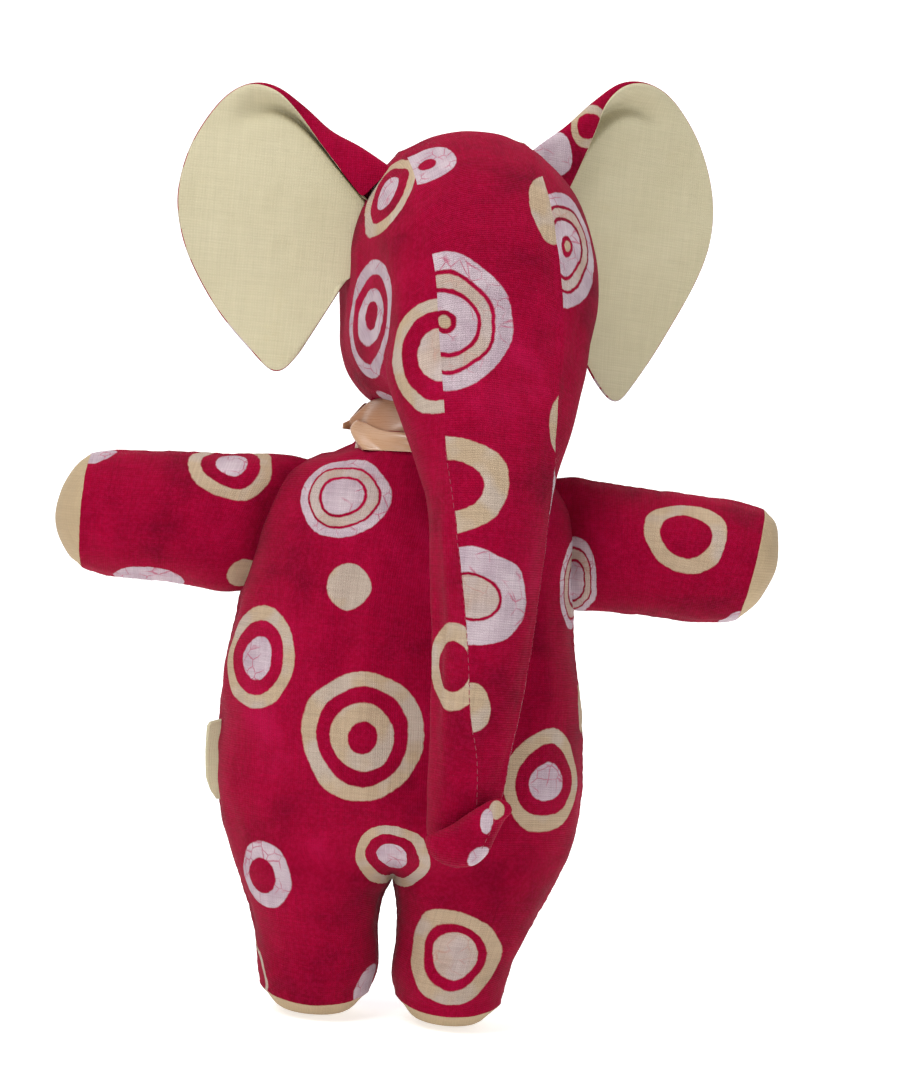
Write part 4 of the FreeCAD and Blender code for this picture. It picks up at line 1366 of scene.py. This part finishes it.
cloth = tip_cloth()
tip = cloth.build()
subdivide(tip)
work_cloth(tip, 61, seam_depth=0.2, pucker=0.15, lumps=0.25)
printed([tip], "tip", place_motifs(tree_of(tip), PRINT["tip"]), 1.8)
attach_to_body(tip, "trunk")
tip_line = CAMERA_AT + (np.array([(x, 0, z) for x, z in TIP_SEAM]) - CAMERA_AT) * TIP_NEARER
row = dashes("tip_stitches", tree_of(tip), [tip_line], pitch=2.2, length=1.4, radius=0.18)
finish_piece(row, thread)
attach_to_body(row, "trunk")
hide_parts("trunk_tip_fold")

# Ears
def far_out(toy):
    """Where rings may lie on an ear's back, away from its root and from the cloth that wraps to the front."""
    return (toy[:, 2] < 262) & (np.abs(toy[:, 0]) > 60)


for side, ear in (("right", RIGHT_EAR), ("left", LEFT_EAR)):
    root = np.array(ear["root"])
    for name, piece in ear_pieces(side, ear).items():
        subdivide(piece)
        if name == "lining":
            finish_piece(piece, cream)
        else:
            seen = place_motifs(tree_of(piece), PRINT.get(f"{side}_ear_back", []))
            behind = spread_motifs(piece.data, 71 + ear["out"], 38.0, far_out, seen)
            printed([piece], f"{side}_ear_back", seen + behind)
        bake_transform(piece)
        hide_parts(f"{side}_ear_{name}")

# Closing stitches, slanting across the back seam
STITCHES = 13
OPENING = (92, 36)  # level of the lowest closing stitch, and how far up they run
BEHIND = 40  # a depth behind the back's cloth
ladder = []
for k in range(STITCHES):
    level = OPENING[0] + OPENING[1] * k / (STITCHES - 1)
    ladder.append(np.array([(-2.2, BEHIND, level - 0.8), (0, BEHIND, level), (2.2, BEHIND, level + 0.8)]))
row = dashes("closing_stitches_thread", body_tree, ladder, pitch=4.6, length=4.2, radius=0.3, lift=0.25)
finish_piece(row, pale_thread)
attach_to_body(row, "torso")
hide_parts("closing_stitches")

# Neck
neck_rows = grid_of(neck_point, np.linspace(176.0, 203.0, 19), np.linspace(0, 360, 145))
neck = sheet_piece("neck_cloth", neck_rows, -1)
subdivide(neck)
printed([neck], "neck", [])
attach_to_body(neck, "neck")
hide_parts("neck_collar", "neck_filling")

# Ribbon
SATIN_THICKNESS = 0.5
band_rows = grid_of(band_point, np.linspace(-171, 189, 217), np.linspace(-1, 1, 21))
band = both_sides("neck_ribbon_band", band_rows, SATIN_THICKNESS)
fold_rows = grid_of(fold_point, np.linspace(0, 1, 91), np.linspace(-1, 1, 25))
fold = both_sides("neck_ribbon_fold", fold_rows, SATIN_THICKNESS)
end_rows = grid_of(ribbon_end_point, np.linspace(0, 1, 15), np.linspace(-1, 1, 11))
end = both_sides("neck_ribbon_end", end_rows, SATIN_THICKNESS)
# the fold gets the satin painted lighter: painted light on the fold
for piece, material in ((band, satin), (fold, satin_painted_lit), (end, satin)):
    finish_piece(piece, material)
    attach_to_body(piece, "neck")
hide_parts("neck_ribbon")

# Side tag
tag_rows = grid_of(tag_point, np.linspace(0, 1, 33), np.linspace(0, 1, 9))
tag = both_sides("side_tag_cloth", tag_rows, 1.0)
finish_piece(tag, cream)
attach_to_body(tag, "torso")
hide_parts("side_tag")

# ---------------------------------------------------------------- stage


def backdrop():
    """A pale floor that curves up into a pale wall behind the toy."""
    front, bend, radius, top = -1.6, 0.8, 0.7, 3.0
    rows = [(front, 0.0), (-bend, 0.0), (0.0, 0.0), (bend, 0.0)]
    for k in range(1, 10):
        a = math.radians(10 * k)
        rows.append((bend + radius * math.sin(a), radius - radius * math.cos(a)))
    rows.append((bend + radius, top))
    points = [(x, y, z) for y, z in rows for x in (-2.5, -0.8, 0.8, 2.5)]
    corners = [4 * k + m for k in range(len(rows) - 1) for m in range(3)]
    faces = [(c, c + 1, c + 5, c + 4) for c in corners]
    piece = new_object("backdrop", smooth_mesh("backdrop", points, faces))
    n = Nodes("backdrop_white")
    n.set(Base_Color=(0.86, 0.86, 0.86, 1), Roughness=0.85, Specular_IOR_Level=0.0)
    n.set(Emission_Color=(1, 1, 1, 1), Emission_Strength=0.6)
    piece.data.materials.append(n.material)


LIT_AT = (0, 0, 0.16)  # the toy's middle, where every lamp points


def light(name, at, size, power):
    lamp = bpy.data.lights.new(name, "AREA")
    lamp.shape = "DISK"
    lamp.size = size
    lamp.energy = power
    item = new_object(name, lamp)
    item.location = at
    item.rotation_euler = (Vector(LIT_AT) - Vector(at)).to_track_quat("-Z", "Y").to_euler()


def camera():
    data = bpy.data.cameras.new("camera")
    data.sensor_fit = "VERTICAL"
    data.sensor_height = SENSOR
    data.lens = SENSOR * CAMERA_DISTANCE / FRAME_HEIGHT
    item = new_object("camera", data)
    item.location = to_row(CAMERA_AT)
    item.rotation_euler = (math.radians(90), math.radians(CAMERA_ROLL), 0)
    bpy.context.scene.camera = item


backdrop()
camera()
light("key", (-0.5, -0.7, 1.15), 0.8, 12.0)
light("fill", (0.8, -0.9, 0.4), 1.0, 2)
light("top", (-0.05, -0.1, 1.25), 0.7, 6.5)
world = bpy.data.worlds.new("studio")
world.use_nodes = True
background = world.node_tree.nodes["Background"].inputs
background["Color"].default_value = (1, 1, 1, 1)
background["Strength"].default_value = 0.36
bpy.context.scene.world = world
bpy.context.scene.view_settings.view_transform = "Standard"
